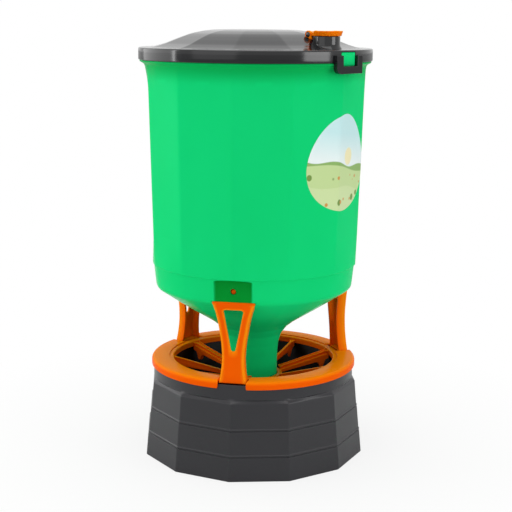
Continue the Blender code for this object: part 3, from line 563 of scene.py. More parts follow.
class Shell:
    """Closed or open surfaces that are gathered into one mesh object."""

    def __init__(self) -> None:
        """Start without any surface."""
        self.points: list[np.ndarray] = []
        self.faces: list[list[int]] = []
        self.uvs: list[np.ndarray] = []
        self.count = 0

    def grid(self, points: np.ndarray, close_rows: bool = False, close_columns: bool = False,
             uvs: np.ndarray | None = None) -> "Shell":
        """Add a surface given on a grid: each cell of the grid is one face.

        Args:
            points: Points by row and column.
            close_rows: Whether the last row joins the first.
            close_columns: Whether the last column joins the first.
            uvs: Texture coordinates by row and column.

        Returns:
            The shell itself.
        """
        rows, columns = points.shape[:2]
        index = np.arange(rows * columns).reshape(rows, columns) + self.count
        if close_rows:
            index = np.vstack([index, index[:1]])
        if close_columns:
            index = np.hstack([index, index[:, :1]])
        cells = np.stack([index[:-1, :-1], index[:-1, 1:], index[1:, 1:], index[1:, :-1]], axis=-1)
        self.faces += cells.reshape(-1, 4).tolist()
        self.points.append(points.reshape(-1, 3))
        self.count += rows * columns
        if uvs is not None:
            self.uvs.append(uvs.reshape(-1, 2))
        return self

    def loft(self, points: np.ndarray) -> "Shell":
        """Add a surface whose rows and columns both close, and give the shell itself."""
        return self.grid(points, close_rows=True, close_columns=True)

    def tube(self, rings: np.ndarray) -> "Shell":
        """Add a run of closed rings, with a flat face over the first and the last.

        Args:
            rings: Points by ring and place on the ring.

        Returns:
            The shell itself.
        """
        start = self.count
        rows, columns = rings.shape[:2]
        self.grid(rings, close_columns=True)
        self.faces.append(list(range(start, start + columns))[::-1])
        last = start + (rows - 1) * columns
        self.faces.append(list(range(last, last + columns)))
        return self

    def piece(self, name: str, material: bpy.types.Material, soften: float = 0.0, sharp: float = 35.0,
              segments: int = 2) -> bpy.types.Object:
        """Make the mesh object: doubles merged, faces outwards, shaded smooth with its edges kept.

        Args:
            name: The object's name.
            material: Its material.
            soften: Width of the bevel on its sharp edges, or 0 for none.
            sharp: Angle in degrees from which an edge counts as sharp.
            segments: Steps across the bevel.

        Returns:
            The object.
        """
        mesh = bpy.data.meshes.new(name)
        mesh.from_pydata(np.concatenate(self.points).tolist(), [], self.faces)
        if self.uvs:
            layer = mesh.uv_layers.new(name="print")
            corners = np.empty(len(mesh.loops), dtype=np.int32)
            mesh.loops.foreach_get("vertex_index", corners)
            layer.data.foreach_set("uv", np.concatenate(self.uvs)[corners].ravel())
        work = bmesh.new()
        work.from_mesh(mesh)
        bmesh.ops.remove_doubles(work, verts=work.verts, dist=2e-6)
        bmesh.ops.dissolve_degenerate(work, edges=work.edges, dist=1e-6)
        bmesh.ops.recalc_face_normals(work, faces=work.faces)
        work.to_mesh(mesh)
        work.free()
        mesh.materials.append(material)
        made = linked(name, mesh)
        mesh.shade_smooth()
        mesh.set_sharp_from_angle(angle=math.radians(sharp))
        if soften > 0.0:
            bevel = made.modifiers.new("soft_edges", "BEVEL")
            bevel.width = soften
            bevel.segments = segments
            bevel.limit_method = "ANGLE"
            bevel.angle_limit = math.radians(sharp)
            bevel.harden_normals = True
            bevel.use_clamp_overlap = True
        return made


def rod_rings(radius: np.ndarray, along: np.ndarray, start: np.ndarray, axis: np.ndarray,
              columns: int) -> np.ndarray:
    """Rings of a round bar: at each distance along the axis, a circle of its own radius.

    Args:
        radius: Radius of each ring.
        along: Distance of each ring from the start.
        start: Where the axis starts.
        axis: Unit vector along the axis.
        columns: Points on each ring.

    Returns:
        The points by ring and place on the ring.
    """
    side = np.cross(axis, [0.0, 0.0, 1.0])
    side = side / np.linalg.norm(side) if np.linalg.norm(side) > 1e-6 else np.array([1.0, 0.0, 0.0])
    other = np.cross(axis, side)
    angle = full_turn(columns)
    circle = np.cos(angle)[:, None] * side + np.sin(angle)[:, None] * other
    return start + axis * along[:, None, None] + circle[None] * radius[:, None, None]


def radial_bar(radius: list[float], along: list[float], out: float, height: float, azimuth: float,
               columns: int) -> np.ndarray:
    """Rings of a round bar that points outwards from a distance out and a height, at an azimuth."""
    start, axis = placed(0.0, out, height, azimuth), placed(0.0, 1.0, 0.0, azimuth)
    return rod_rings(np.array(radius), np.array(along), start, axis, columns)


# Sub-assemblies


@dataclass
class Assembly:
    """A sub-assembly: it makes pieces and hands each to its body and CAD nodes."""

    finishes: Finishes

    def finish(self, slot: Slot) -> bpy.types.Material:
        """Give the material of a slot."""
        return self.finishes.by_slot[slot]

    def add(self, shell: Shell, name: str, body: Body, slot: Slot, node: str, **edges: float) -> None:
        """Make a piece of a shell in the finish of its slot, with its edges as told, and hand it over."""
        self.hand_over(shell.piece(name, self.finish(slot), **edges), body, slot, node)

    def hand_over(self, piece: bpy.types.Object, body: Body, slot: Slot | None = None,
                  node: str = "") -> None:
        """Let a piece ride on its body and stand for its CAD node.

        Args:
            piece: The finished piece.
            body: The body that it rides on.
            slot: Not used.
            node: The CAD node that it stands for, or nothing.
        """
        if node:
            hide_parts(node)
        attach(piece, body.value)
        LOG.info("%s rides on %s", piece.name, body.value)


@dataclass
class Pedestal(Assembly):
    """Stepped twelve-sided pedestal: three drafted tiers, grooved ledges, a shoulder and a collar."""

    foot: float = 0.1482
    tier: float = 0.0329
    draft: float = 0.0028
    step: float = 0.0010
    rise: float = 0.0015
    groove: float = 0.0009
    collar: float = 0.1330
    top: float = 0.1215
    wall: float = 0.0026

    def outline(self) -> list[tuple[float, float, float, float, float]]:
        """Give corners of the outer side: radius, height, arc, roundness and corner rounding.

        Under each ledge five corners, each given by its inset, its drop below the ledge and its arc,
        run round the groove.
        """
        corners = [(self.foot - 0.0006, 0.0, 0.0, 0.0, 0.0030), (self.foot, 0.0007, 0.0005, 0.0, 0.0030)]
        groove = [(0.0, 0.0030, 0.0003), (self.groove, 0.0026, 0.0002), (self.groove, 0.0014, 0.0002),
                  (0.0, 0.0011, 0.0002), (0.0, 0.0004, 0.0003)]
        radius = self.foot
        for tier in range(2):
            ledge = (tier + 1) * self.tier
            radius -= self.draft
            corners += [(radius - inset, ledge - drop, arc, 0.0, 0.0028) for inset, drop, arc in groove]
            radius -= self.step
            corners.append((radius, ledge + self.rise * 0.5, 0.0008, 0.0, 0.0026))
        radius -= self.draft
        crest = 3.0 * self.tier
        corners += [(radius, crest - 0.0006, 0.0016, 0.0, 0.0026),
                    (radius - 0.0036, crest + 0.0026, 0.0035, 0.45, 0.0060),
                    (self.collar, crest + 0.0046, 0.0030, 1.0, 0.0100),
                    (self.collar, self.top, 0.0006, 1.0, 0.0100),
                    (self.collar - self.wall, self.top, 0.0, 1.0, 0.0100)]
        return corners

    def build(self) -> None:
        """Make the pedestal as one closed loft: its outer side up and its inner side down."""
        outer = fine_path(rounded_path(self.outline(), 4), 0.0030)
        inner = outer[:-3][::-1].copy()
        inner[:, 0] -= self.wall
        path = np.concatenate([outer, inner])
        azimuths = facet_azimuths(8, 0.035)
        shell = Shell().loft(around(faceted(path, azimuths), azimuths[None], path[:, 1:2]))
        self.add(shell, "pedestal", Body.BASE, Slot.BASE_GREY, "base_pedestal", sharp=50.0)


@dataclass
class FeedPan(Assembly):
    """Feed pan that hangs in the collar, with a cone that spreads the feed."""

    flange: float = 0.1303
    flange_top: float = 0.1212
    mouth: float = 0.1119
    foot: float = 0.0999
    floor: float = 0.0682
    wall: float = 0.0022
    cone: float = 0.0340
    cone_top: float = 0.0882
    tip: float = 0.0060
    tip_drop: float = 0.0012

    def build(self) -> None:
        """Make the pan as a turned shell that closes on the axis above and below."""
        upper = [(0.0, self.cone_top, 0.0), (self.tip, self.cone_top - self.tip_drop, 0.0050),
                 (self.cone, self.floor, 0.0080), (self.foot, self.floor, 0.0100),
                 (self.mouth, self.flange_top, 0.0015), (self.flange, self.flange_top, 0.0007),
                 (self.flange, self.flange_top - self.wall, 0.0007)]
        lower = [(self.mouth + self.wall, self.flange_top - self.wall, 0.0006),
                 (self.foot + self.wall, self.floor - self.wall, 0.0120),
                 (self.cone + 0.0010, self.floor - self.wall, 0.0080),
                 (self.tip, self.cone_top - self.tip_drop - self.wall, 0.0050),
                 (0.0, self.cone_top - self.wall, 0.0)]
        shell = Shell().grid(turned(rounded_path(upper + lower, 5), 120), close_columns=True)
        self.add(shell, "feed_tray", Body.BASE, Slot.PAN_GREY, "feed_pan", sharp=50.0)


@dataclass(frozen=True)
class SpokeKind:
    """Sizes of one kind of spoke: its top, flange, flare, web, ledge and the left half of its section.

    The section's points are shares of the flange's half width and thickness.
    """

    top_inner: float
    top_outer: float
    half: float
    thick: float
    flare: float
    web: float
    ledge: float
    section: list[tuple[float, float]]


MAIN_SPOKE = SpokeKind(0.1067, 0.1243, 0.0037, 0.0028, 0.0050, 0.0017, 0.0019,
                       [(-1.0, -0.6), (-1.0, -0.12), (-0.94, 0.0), (-0.70, 0.0), (-0.64, -0.60)])
PLAIN_SPOKE = SpokeKind(0.1024, 0.1219, 0.0017, 0.0019, 0.0048, 0.0012, 0.0,
                        [(-1.0, -0.6), (-1.0, -0.15), (-0.82, 0.0)])


@dataclass
class Grille(Assembly):
    """Feeding grille: an outer ring in three runs, an inner band, nine spokes with teeth and a hub."""

    outer: float = 0.1358
    skirt_bottom: float = 0.1165
    top: float = 0.1265
    plate: float = 0.0024
    band: float = 0.1150
    band_step: float = 0.0013
    bore: float = 0.1065
    bore_bottom: float = 0.1175
    rib_inner: float = 0.1200
    rib_outer: float = 0.1222
    rib_bottom: float = 0.1225
    rib_half_angle: float = 0.86
    run_inner: float = 0.1122
    gap: float = 0.0181
    end_round: float = 0.0026
    spokes: int = 9
    overlap: float = 0.0012
    fillet: float = 0.0085
    hub_fillet: float = 0.0050
    ledge_drop: float = 0.0050
    hub_bore: float = 0.0326
    hub_outer: float = 0.0391
    hub_top: float = 0.1015
    hub_bottom: float = 0.0935

    def run_profile(self) -> np.ndarray:
        """Give the section of an outer run as radius and height: skirt, round edge and flat top."""
        skirt_inner, under = self.outer - self.plate, self.top - self.plate
        corners = [(skirt_inner, self.skirt_bottom, 0.0006), (self.outer, self.skirt_bottom, 0.0008),
                   (self.outer, self.top, 0.0042), (self.run_inner, self.top, 0.0006),
                   (self.run_inner, under, 0.0006), (skirt_inner, under, 0.0022)]
        return rounded_path([corners[-1]] + corners + corners[:2], 5)[1:-2]

    def build(self) -> None:
        """Make the ring's runs and band, the spokes and the hub."""
        self.build_runs()
        self.build_band()
        for number in range(self.spokes):
            self.build_spoke(number)
        self.build_hub()

    def build_runs(self) -> None:
        """Make the three outer runs, each from leg to leg, with rounded ends.

        At radius r a run starts at the angle whose sine is gap / r, so that its ends are parallel to the
        legs. Near an end its skirt and top draw together along a quarter circle.
        """
        profile = self.run_profile()
        run = FULL_TURN / 3.0
        length = self.outer * run
        near = self.end_round * np.array([0.0, 0.06, 0.2, 0.4, 0.68, 1.0]) / length
        share = np.concatenate([near, np.linspace(0.018, 0.982, 71), 1.0 - near[::-1]])
        inside = np.maximum(self.end_round - np.minimum(share, 1.0 - share) * length, 0.0)
        pull = (self.end_round - np.sqrt(np.maximum(self.end_round ** 2 - inside ** 2, 0.0)))[:, None]
        height = np.clip(profile[None, :, 1], self.skirt_bottom + pull, self.top - 0.7 * pull)
        cut = np.arcsin(self.gap / profile[:, 0])[None]
        turned_by = cut + share[:, None] * (run - 2.0 * cut)
        shell = Shell()
        for start in sorted(LEG_AZIMUTHS.values()):
            shell.tube(around(profile[None, :, 0], start + turned_by, height))
        self.add(shell, "grille_rim", Body.TOWER, Slot.ORANGE, "grille_ring", soften=0.0006, sharp=50.0,
                 segments=3)

    def build_band(self) -> None:
        """Make the inner band, a step lower than the runs, with its skirt round the bore and its ribs."""
        low = self.top - self.band_step
        skirt = self.bore + self.plate
        corners = [(self.band, low, 0.0005), (self.bore, low, 0.0014), (self.bore, self.bore_bottom, 0.0007),
                   (skirt, self.bore_bottom, 0.0007), (skirt, low - self.plate, 0.0014),
                   (self.band, low - self.plate, 0.0005)]
        shell = Shell().loft(turned(closed_path(corners, 4), 144))
        under = self.top - 0.0030
        rib = rounded_path([(self.rib_inner, under, 0.0), (self.rib_inner, self.rib_bottom, 0.0004),
                            (self.rib_outer, self.rib_bottom, 0.0004), (self.rib_outer, under, 0.0)], 2)
        for azimuth in (FRONT, FULL_TURN / 3.0, -FULL_TURN / 3.0):
            angles = np.linspace(azimuth - self.rib_half_angle, azimuth + self.rib_half_angle, 49)
            shell.tube(around(rib[None, :, 0], angles[:, None], rib[None, :, 1]))
        self.add(shell, "grille_band", Body.TOWER, Slot.ORANGE, "grille_ring", sharp=40.0)

    def build_spoke(self, number: int) -> None:
        """Make a spoke: a web under a rounded flange, deepening outwards to a tooth.

        The half width of the flange grows near the ring like a fillet: it adds the flare times the share
        of the way through the last stretch to the power of 2.4. The web's lower edge follows a polyline
        with rounded corners, which holds the tooth. A main spoke's web thickens at a ledge half way down.

        Args:
            number: The spoke's number, counted from the left leg.
        """
        kind = PLAIN_SPOKE if number % 3 else MAIN_SPOKE
        azimuth = LEG_AZIMUTHS["leg_left"] + FULL_TURN * number / self.spokes
        inner, outer = self.hub_outer - self.overlap, self.bore + self.overlap
        lower = rounded_path([(inner, 0.0968, 0.0), (0.0930, 0.1072, 0.0060), (0.0972, 0.0990, 0.0016),
                              (0.0996, 0.0990, 0.0016), (0.1030, 0.1090, 0.0035), (outer, 0.1120, 0.0)], 5)
        out = np.unique(np.concatenate([lower[:, 0], np.linspace(inner, outer, 40)]))
        bottom = np.interp(out, lower[:, 0], lower[:, 1])
        top = np.interp(out, [inner, outer], [kind.top_inner, kind.top_outer])
        into = np.clip((out - (outer - self.fillet)) / self.fillet, 0.0, 1.0)
        into_hub = np.clip((inner + self.hub_fillet - out) / self.hub_fillet, 0.0, 1.0)
        wide = kind.half + kind.flare * into ** 2.4 + 0.0022 * into_hub ** 2
        web = kind.web + 0.0012 * into ** 2
        left = np.array(kind.section)
        flange = np.concatenate([left, mirrored(left)])
        across = flange[:, 0][None] * wide[:, None]
        height = top[:, None] + flange[:, 1][None] * kind.thick
        side_across = np.stack([web, web, web + kind.ledge, web + kind.ledge * 0.8, web * 0.6], axis=1)
        side_height = np.stack([top - kind.thick, top - self.ledge_drop, top - self.ledge_drop - 0.0006,
                                bottom + 0.0008, bottom], axis=1)
        ring_across = np.concatenate([across, side_across, -side_across[:, ::-1]], axis=1)
        ring_height = np.concatenate([height, side_height, side_height[:, ::-1]], axis=1)
        shell = Shell().tube(placed(ring_across, out[:, None], ring_height, azimuth))
        self.add(shell, f"spoke_{number + 1}", Body.TOWER, Slot.ORANGE, f"grille_spoke_{number + 1}",
                 soften=0.0003, sharp=38.0)

    def build_hub(self) -> None:
        """Make the hub, a turned ring round the end of the spout."""
        corners = [(self.hub_bore, self.hub_bottom, 0.0006), (self.hub_outer, self.hub_bottom, 0.0012),
                   (self.hub_outer, self.hub_top, 0.0014), (self.hub_bore, self.hub_top, 0.0008)]
        shell = Shell().loft(turned(closed_path(corners, 4), 96))
        self.add(shell, "spout_hub", Body.TOWER, Slot.ORANGE, "grille_hub", sharp=40.0)


@dataclass
class Legs(Assembly):
    """Three channel-section legs, each with a tapering window, side flanges, a foot and a tongue."""

    foot: float = 0.1225
    top: float = 0.2255
    face: float = 0.1263
    spread: float = 0.0045
    plate: float = 0.0030
    flange: float = 0.0130
    flange_wall: float = 0.0028
    rounding: float = 0.0024
    window_rounding: float = 0.0010
    samples: int = 30
    window_top: float = 0.2155
    window_tip: float = 0.1647
    window_corner: float = 0.0036
    tip_round: float = 0.0012
    tongue_half: float = 0.0190
    tongue_bottom: float = 0.2200
    tongue_top: float = 0.2475
    tongue_faces: tuple[float, float] = (0.1197, 0.1224)
    stud: float = 0.0030
    stud_height: float = 0.2384
    levels: tuple[float, ...] = (122.5, 125.0, 132.0, 140.0, 148.0, 155.0, 163.0, 170.0, 178.0, 186.0, 195.0,
                                 204.0, 212.0, 220.0, 225.5)
    halves: tuple[float, ...] = (17.6, 17.1, 15.8, 14.7, 14.1, 13.9, 14.3, 14.9, 16.0, 17.4, 18.9, 20.7, 22.9,
                                 25.8, 27.9)

    def half_width(self, height: Value) -> np.ndarray:
        """Half width of the leg at a height, interpolated between levels and halves in millimetres."""
        return np.interp(height, np.array(self.levels) / 1000.0, np.array(self.halves) / 1000.0)

    def out(self, height: np.ndarray) -> np.ndarray:
        """Distance of the outer face from the axis: the foot spreads outwards along a smooth curve."""
        share = np.clip((height - self.foot) / 0.0640, 0.0, 1.0)
        return self.face + self.spread * (1.0 - share) ** 1.5

    def outline(self) -> np.ndarray:
        """Closed outline of the leg as across and height, from the top left corner clockwise."""
        edge = 0.0016
        side_height = self.top - edge - (self.top - edge - self.foot) * np.linspace(0.0, 1.0, self.samples)
        side = np.stack([self.half_width(side_height), side_height], axis=1)
        share = np.linspace(-1.0, 1.0, 12)
        top = np.stack([share * (self.half_width(self.top) - edge), np.full(12, self.top)], axis=1)
        bottom = np.stack([-share * self.half_width(self.foot), np.full(12, self.foot)], axis=1)
        return np.concatenate([top, side, bottom[1:-1], mirrored(side)])

    def window(self) -> np.ndarray:
        """Closed outline of the window, with as many points as the leg's outline and in step with it."""
        top, tip, corner = self.window_top, self.window_tip, self.window_corner
        length = top - corner - tip - self.tip_round
        height = top - corner - length * np.linspace(0.0, 1.0, self.samples)
        half = 0.0030 + (0.0130 - 0.0030) * (height - tip) / (top - tip)
        side = np.stack([half, height], axis=1)
        angle = np.linspace(0.0, math.pi / 2.0, 6)
        arc = np.stack([0.0096 + 0.0032 * np.sin(angle), top - corner + corner * np.cos(angle)], axis=1)
        angle = np.linspace(0.0, math.pi, 12)
        low = np.stack([0.0031 * np.cos(angle), tip + self.tip_round - 0.0030 * np.sin(angle)], axis=1)
        return np.concatenate([mirrored(arc), arc, side, low[1:-1], mirrored(side)])

    def build(self) -> None:
        """Make the three legs."""
        for node, azimuth in LEG_AZIMUTHS.items():
            self.build_leg(node, azimuth)

    def build_leg(self, node: str, azimuth: float) -> None:
        """Make one leg as a closed surface that runs round its window.

        Row by row the section goes from the window's front edge across the plate to the outer corner,
        back along the flange, round its end and back to the window's rear edge. The depth of the
        flange is full along the sides and the foot, and that of the plate along the top.

        Args:
            node: The CAD node that it stands for.
            azimuth: The leg's azimuth.
        """
        outer, inner = self.outline(), self.window()
        level = outer[:, 1]
        depth = self.flange + (self.plate - self.flange) * smooth((level - (self.top - 0.0110)) / 0.0110)
        inward = outer.copy()
        inward[:, 0] -= np.sign(outer[:, 0]) * np.minimum(self.flange_wall, np.abs(outer[:, 0]))
        inward[:, 1] = np.where(level < self.foot + 1e-6, level + self.flange_wall, level)
        inward[:, 1] = np.where(level > self.top - 1e-6, level - self.flange_wall, inward[:, 1])
        turn = np.linspace(0.0, math.pi / 2.0, 6)[:, None, None]
        rounding = self.rounding * (1.0 - 0.7 * (level > self.top - 0.0020))
        edge_in = self.away(outer) * rounding[:, None]
        edge = outer[None] - edge_in[None] * (1.0 - np.sin(turn))
        edge_sink = rounding[None] * (1.0 - np.cos(turn))[:, :, 0]
        sill = inner[None] + self.away(inner)[None] * self.window_rounding * (1.0 - np.cos(turn))
        sill_sink = self.window_rounding * (1.0 - np.sin(turn))[:, :, 0]
        front_shares = np.array([0.2, 0.4, 0.6, 0.8])[:, None, None]
        front = sill[-1] + (edge[0] - sill[-1])[None] * front_shares
        back_shares = np.array([0.0, 0.15, 0.35, 0.6, 0.85, 1.0])[:, None, None]
        back = inward[None] + (inner - inward)[None] * back_shares
        flat = np.concatenate([sill, front, edge, outer[None], inward[None], back])
        count = len(outer)
        sinks = [np.repeat(sill_sink, count, axis=1), np.zeros((len(front), count)), edge_sink, depth[None],
                 depth[None], np.full((len(back), count), self.plate)]
        out = self.out(flat[..., 1]) - np.concatenate(sinks)
        shell = Shell().loft(placed(flat[..., 0], out, flat[..., 1], azimuth))
        self.add_tongue(shell, azimuth)
        piece = shell.piece(node.replace("leg", "support"), self.finish(Slot.ORANGE), soften=0.0004,
                            sharp=46.0)
        # Painted highlight along the front's rounded rims and the window's edge.
        self.paint_rim_highlight(piece, azimuth)
        self.hand_over(piece, Body.TOWER, Slot.ORANGE, node)

    def paint_rim_highlight(self, piece: bpy.types.Object, azimuth: float) -> None:
        """Write the share of painted highlight on the rims: 1 along the front's long edges, 0.8 at the
        window, 0 elsewhere.

        Args:
            piece: The leg.
            azimuth: The leg's azimuth.
        """
        points = vertex_points(piece)
        sine, cosine = math.sin(azimuth), math.cos(azimuth)
        flat = np.stack([points[:, 0] * cosine + points[:, 1] * sine, points[:, 2]], axis=1)
        out = points[:, 0] * sine - points[:, 1] * cosine
        outer = self.outline()
        sides = outer[(outer[:, 1] > self.foot + 0.0010) & (outer[:, 1] < self.top - 0.0030)]
        far, near = [np.linalg.norm(flat[:, None] - line[None], axis=2).min(axis=1)
                     for line in (sides, self.window())]
        rim = np.maximum(1.0 - smooth((far - 0.0014) / 0.0032), 0.8 - 0.8 * smooth((near - 0.0006) / 0.0014))
        front = smooth((out - self.out(points[:, 2]) + 0.0050) / 0.0020)
        paint(piece, "painted_rim_highlight", rim * front)

    def away(self, outline: np.ndarray) -> np.ndarray:
        """Unit vectors that point out of a clockwise outline: its tangent turned a quarter to the left.

        Args:
            outline: The outline's points.

        Returns:
            One vector for each point.
        """
        tangent = np.roll(outline, -1, axis=0) - np.roll(outline, 1, axis=0)
        normal = np.stack([-tangent[:, 1], tangent[:, 0]], axis=1)
        return normal / np.maximum(np.linalg.norm(normal, axis=1, keepdims=True), 1e-9)

    def add_tongue(self, shell: Shell, azimuth: float) -> None:
        """Add the tongue that goes up inside the hopper's band, and its stud.

        Args:
            shell: The leg's shell.
            azimuth: The leg's azimuth.
        """
        box = rectangle(self.tongue_half, self.tongue_bottom, self.tongue_top)
        shell.tube(np.stack([placed(box[:, 0], out, box[:, 1], azimuth) for out in self.tongue_faces]))
        widths = [self.stud, self.stud, self.stud - 0.0005]
        shell.tube(radial_bar(widths, [0.0, 0.0036, 0.0042], 0.1200, self.stud_height, azimuth, 28))


@dataclass
class Hopper(Assembly):
    """Feed hopper: faceted body, stepped lower band, cone, spout, round lip, leg pockets and lugs."""

    wall: float = 0.0024
    pocket_face: float = 0.1264
    pocket_half: float = 0.0240
    pocket_top: float = 0.2524
    pocket_arch: float = 0.0016
    notch_face: float = 0.1228
    notch_half: float = 0.0285
    notch_top: float = 0.2259
    stud_hole: float = 0.0037
    stud_height: float = 0.2390
    lip: float = 0.1485
    mouth: float = 0.1455
    # Share of painted shade under the lip.
    lip_shade: float = 0.58
    wall_middle: float = 0.4
    round_from: float = 0.4650
    round_over: float = 0.0470
    near_leg: float = 0.5

    def outside(self) -> np.ndarray:
        """Path of the outer side, from the spout up: radius, height, roundness and corner rounding.

        A corner in the table has the radius of its arc after its height.
        """
        corners = [
            (0.0313, 0.0997, 0.0000, 1.00, 0.010), (0.0318, 0.0995, 0.0003, 1.00, 0.010),
            (0.0322, 0.1300, 0.0200, 1.00, 0.010), (0.0334, 0.1440, 0.0200, 1.00, 0.010),
            (0.0372, 0.1572, 0.0160, 1.00, 0.010), (0.0456, 0.1681, 0.0150, 0.96, 0.012),
            (0.0560, 0.1762, 0.0200, 0.85, 0.012), (0.0731, 0.1867, 0.0300, 0.65, 0.010),
            (0.0860, 0.1945, 0.0300, 0.60, 0.010), (0.1020, 0.2048, 0.0300, 0.60, 0.010),
            (0.1180, 0.2157, 0.0200, 0.70, 0.010), (0.1296, 0.2236, 0.0090, 0.86, 0.012),
            (0.1324, 0.2500, 0.0100, 0.86, 0.012), (0.1328, 0.2538, 0.0007, 0.86, 0.012),
            (0.1348, 0.2549, 0.0009, 0.72, 0.012), (0.1366, 0.2960, 0.0100, 0.06, 0.008),
            (0.1425, 0.5116, 0.0050, 0.00, 0.008),
            (self.lip, 0.5150, 0.0012, 0.00, 0.010), (self.lip, 0.5168, 0.0005, 0.00, 0.010),
            (self.mouth, 0.5168, 0.0010, 0.00, 0.010), (self.mouth, 0.5288, 0.0008, 0.00, 0.010),
            (self.mouth - self.wall, 0.5288, 0.0000, 0.00, 0.010),
        ]
        return self.rounded_top(fine_path(rounded_path(corners, 5), 0.004))

    def rounded_top(self, path: np.ndarray) -> np.ndarray:
        """Fade the facets into a circle below the lip: the roundness is the square of the share of the
        way through the last stretch of the wall.

        Args:
            path: A path of the wall, with its roundness in the third column.

        Returns:
            The path with its roundness raised near the top.
        """
        share = np.clip((path[:, 1] - self.round_from) / self.round_over, 0.0, 1.0)
        rounded = path.copy()
        rounded[:, 2] = np.where(path[:, 1] > self.wall_middle, share ** 2, path[:, 2])
        return rounded

    def inside(self) -> np.ndarray:
        """Path of the inner side from the mouth down to the spout, with the same columns as outside."""
        corners = [
            (self.mouth - self.wall, 0.5160, 0.0020, 0.00, 0.010), (0.1400, 0.5090, 0.0060, 0.00, 0.010),
            (0.1330, 0.2570, 0.0020, 0.00, 0.006),
            (0.1308, 0.2530, 0.0020, 0.00, 0.006), (0.1290, 0.2270, 0.0060, 0.00, 0.006),
            (0.1010, 0.2072, 0.0300, 0.00, 0.006), (0.0720, 0.1892, 0.0300, 0.35, 0.008),
            (0.0450, 0.1716, 0.0150, 0.95, 0.010), (0.0340, 0.1580, 0.0160, 1.00, 0.010),
            (0.0305, 0.1400, 0.0200, 1.00, 0.010), (0.0294, 0.0995, 0.0003, 1.00, 0.010),
            (0.0300, 0.0995, 0.0000, 1.00, 0.010),
        ]
        return self.rounded_top(fine_path(rounded_path(corners, 4), 0.008))

    def from_leg(self, radius: np.ndarray, azimuths: np.ndarray, centre: float) -> tuple[np.ndarray, ...]:
        """Angle of points from a leg's azimuth, their distance across its pocket and whether it is near."""
        off = turn_from(azimuths, centre)
        return off, np.abs(radius * np.sin(off)), np.abs(off) < self.near_leg

    def with_pockets(self, radius: np.ndarray, azimuths: np.ndarray, height: np.ndarray,
                     face: float) -> np.ndarray:
        """Sink a flat into each leg's corner: inside it the radius is that of a plane, face / cos.

        Args:
            radius: Radii by row and column.
            azimuths: Azimuths of the columns.
            height: Heights of the rows.
            face: Distance of the flat from the axis.

        Returns:
            The radii with the flats.
        """
        sunk = radius.copy()
        for centre in LEG_AZIMUTHS.values():
            off, across, near = self.from_leg(radius, azimuths, centre)
            cosine = np.maximum(np.cos(off), 0.1)
            side = smooth((self.pocket_half + 0.0004 - across) / 0.0008)
            upper = smooth((self.arched_top(across) - height[:, None]) / 0.0009)
            depth = np.maximum(radius - face / cosine, 0.0) * side * upper
            sunk = np.where(near, np.minimum(sunk, radius - depth), sunk)
            back = (face - self.pocket_face + self.notch_face) / cosine
            notched = (across < self.notch_half) & (height[:, None] < self.notch_top) & near
            sunk = np.where(notched, np.minimum(sunk, back), sunk)
        return sunk

    def arched_top(self, across: np.ndarray) -> np.ndarray:
        """Height of a pocket's top: a low parabola over its width."""
        return self.pocket_top + self.pocket_arch * (1.0 - np.clip(across / self.pocket_half, 0.0, 1.0) ** 2)

    def columns(self) -> np.ndarray:
        """Azimuths of the columns: the facets' own and closer ones at the sides of each pocket."""
        close = np.array([-0.020, -0.012, -0.006, -0.003, -0.0015, 0.0, 0.0015, 0.003, 0.006, 0.012])
        edge = math.asin(self.pocket_half / 0.1300) + close
        notch = math.asin(self.notch_half / 0.1260) + np.array([-0.0008, 0.0008])
        near = np.concatenate([edge, notch, -edge, -notch])
        legs = np.array(list(LEG_AZIMUTHS.values()))
        return with_columns(facet_azimuths(7, 0.05), (legs[:, None] + near).ravel())

    def build(self) -> None:
        """Make the hopper's shell, with its lugs."""
        outer, inner = self.outside(), self.inside()
        outer = self.with_rows(outer, self.pocket_top + np.linspace(-0.0020, 0.0024, 14), 0.1300)
        outer = self.with_rows(outer, self.notch_top + np.array([-0.0002, 0.0002]), 0.1200)
        azimuths = self.columns()
        shells = []
        for path, face in ((outer, self.pocket_face), (inner, self.pocket_face - 0.0020)):
            sunk = self.with_pockets(faceted(path, azimuths), azimuths, path[:, 1], face)
            shells.append(around(sunk, azimuths[None], path[:, 1:2]))
        piece = Shell().loft(np.concatenate(shells)).piece("feed_hopper", self.finish(Slot.GREEN), sharp=50.0)
        self.bore_stud_holes(piece)
        # Painted shade in the leg pockets and under the lid's rim.
        self.paint_shade(piece)
        self.hand_over(piece, Body.TOWER, Slot.GREEN, "hopper")
        for name, azimuth in (("front_lug", FRONT), ("rear_lug", REAR)):
            self.build_lug(name, azimuth)

    def bore_stud_holes(self, piece: bpy.types.Object) -> None:
        """Cut the round hole of each leg's stud through the pocket's wall.

        Args:
            piece: The hopper's shell.
        """
        shell = Shell()
        for azimuth in LEG_AZIMUTHS.values():
            shell.tube(radial_bar([self.stud_hole] * 2, [0.0, 0.0080], 0.1232, self.stud_height, azimuth, 36))
        drill = shell.piece("stud_drill", self.finish(Slot.GREEN))
        cut = piece.modifiers.new("stud_holes", "BOOLEAN")
        cut.operation = "DIFFERENCE"
        cut.solver = "EXACT"
        cut.object = drill
        ready = piece.evaluated_get(bpy.context.evaluated_depsgraph_get())
        bored = bpy.data.meshes.new_from_object(ready)
        piece.modifiers.clear()
        piece.data = bored
        bpy.data.objects.remove(drill)

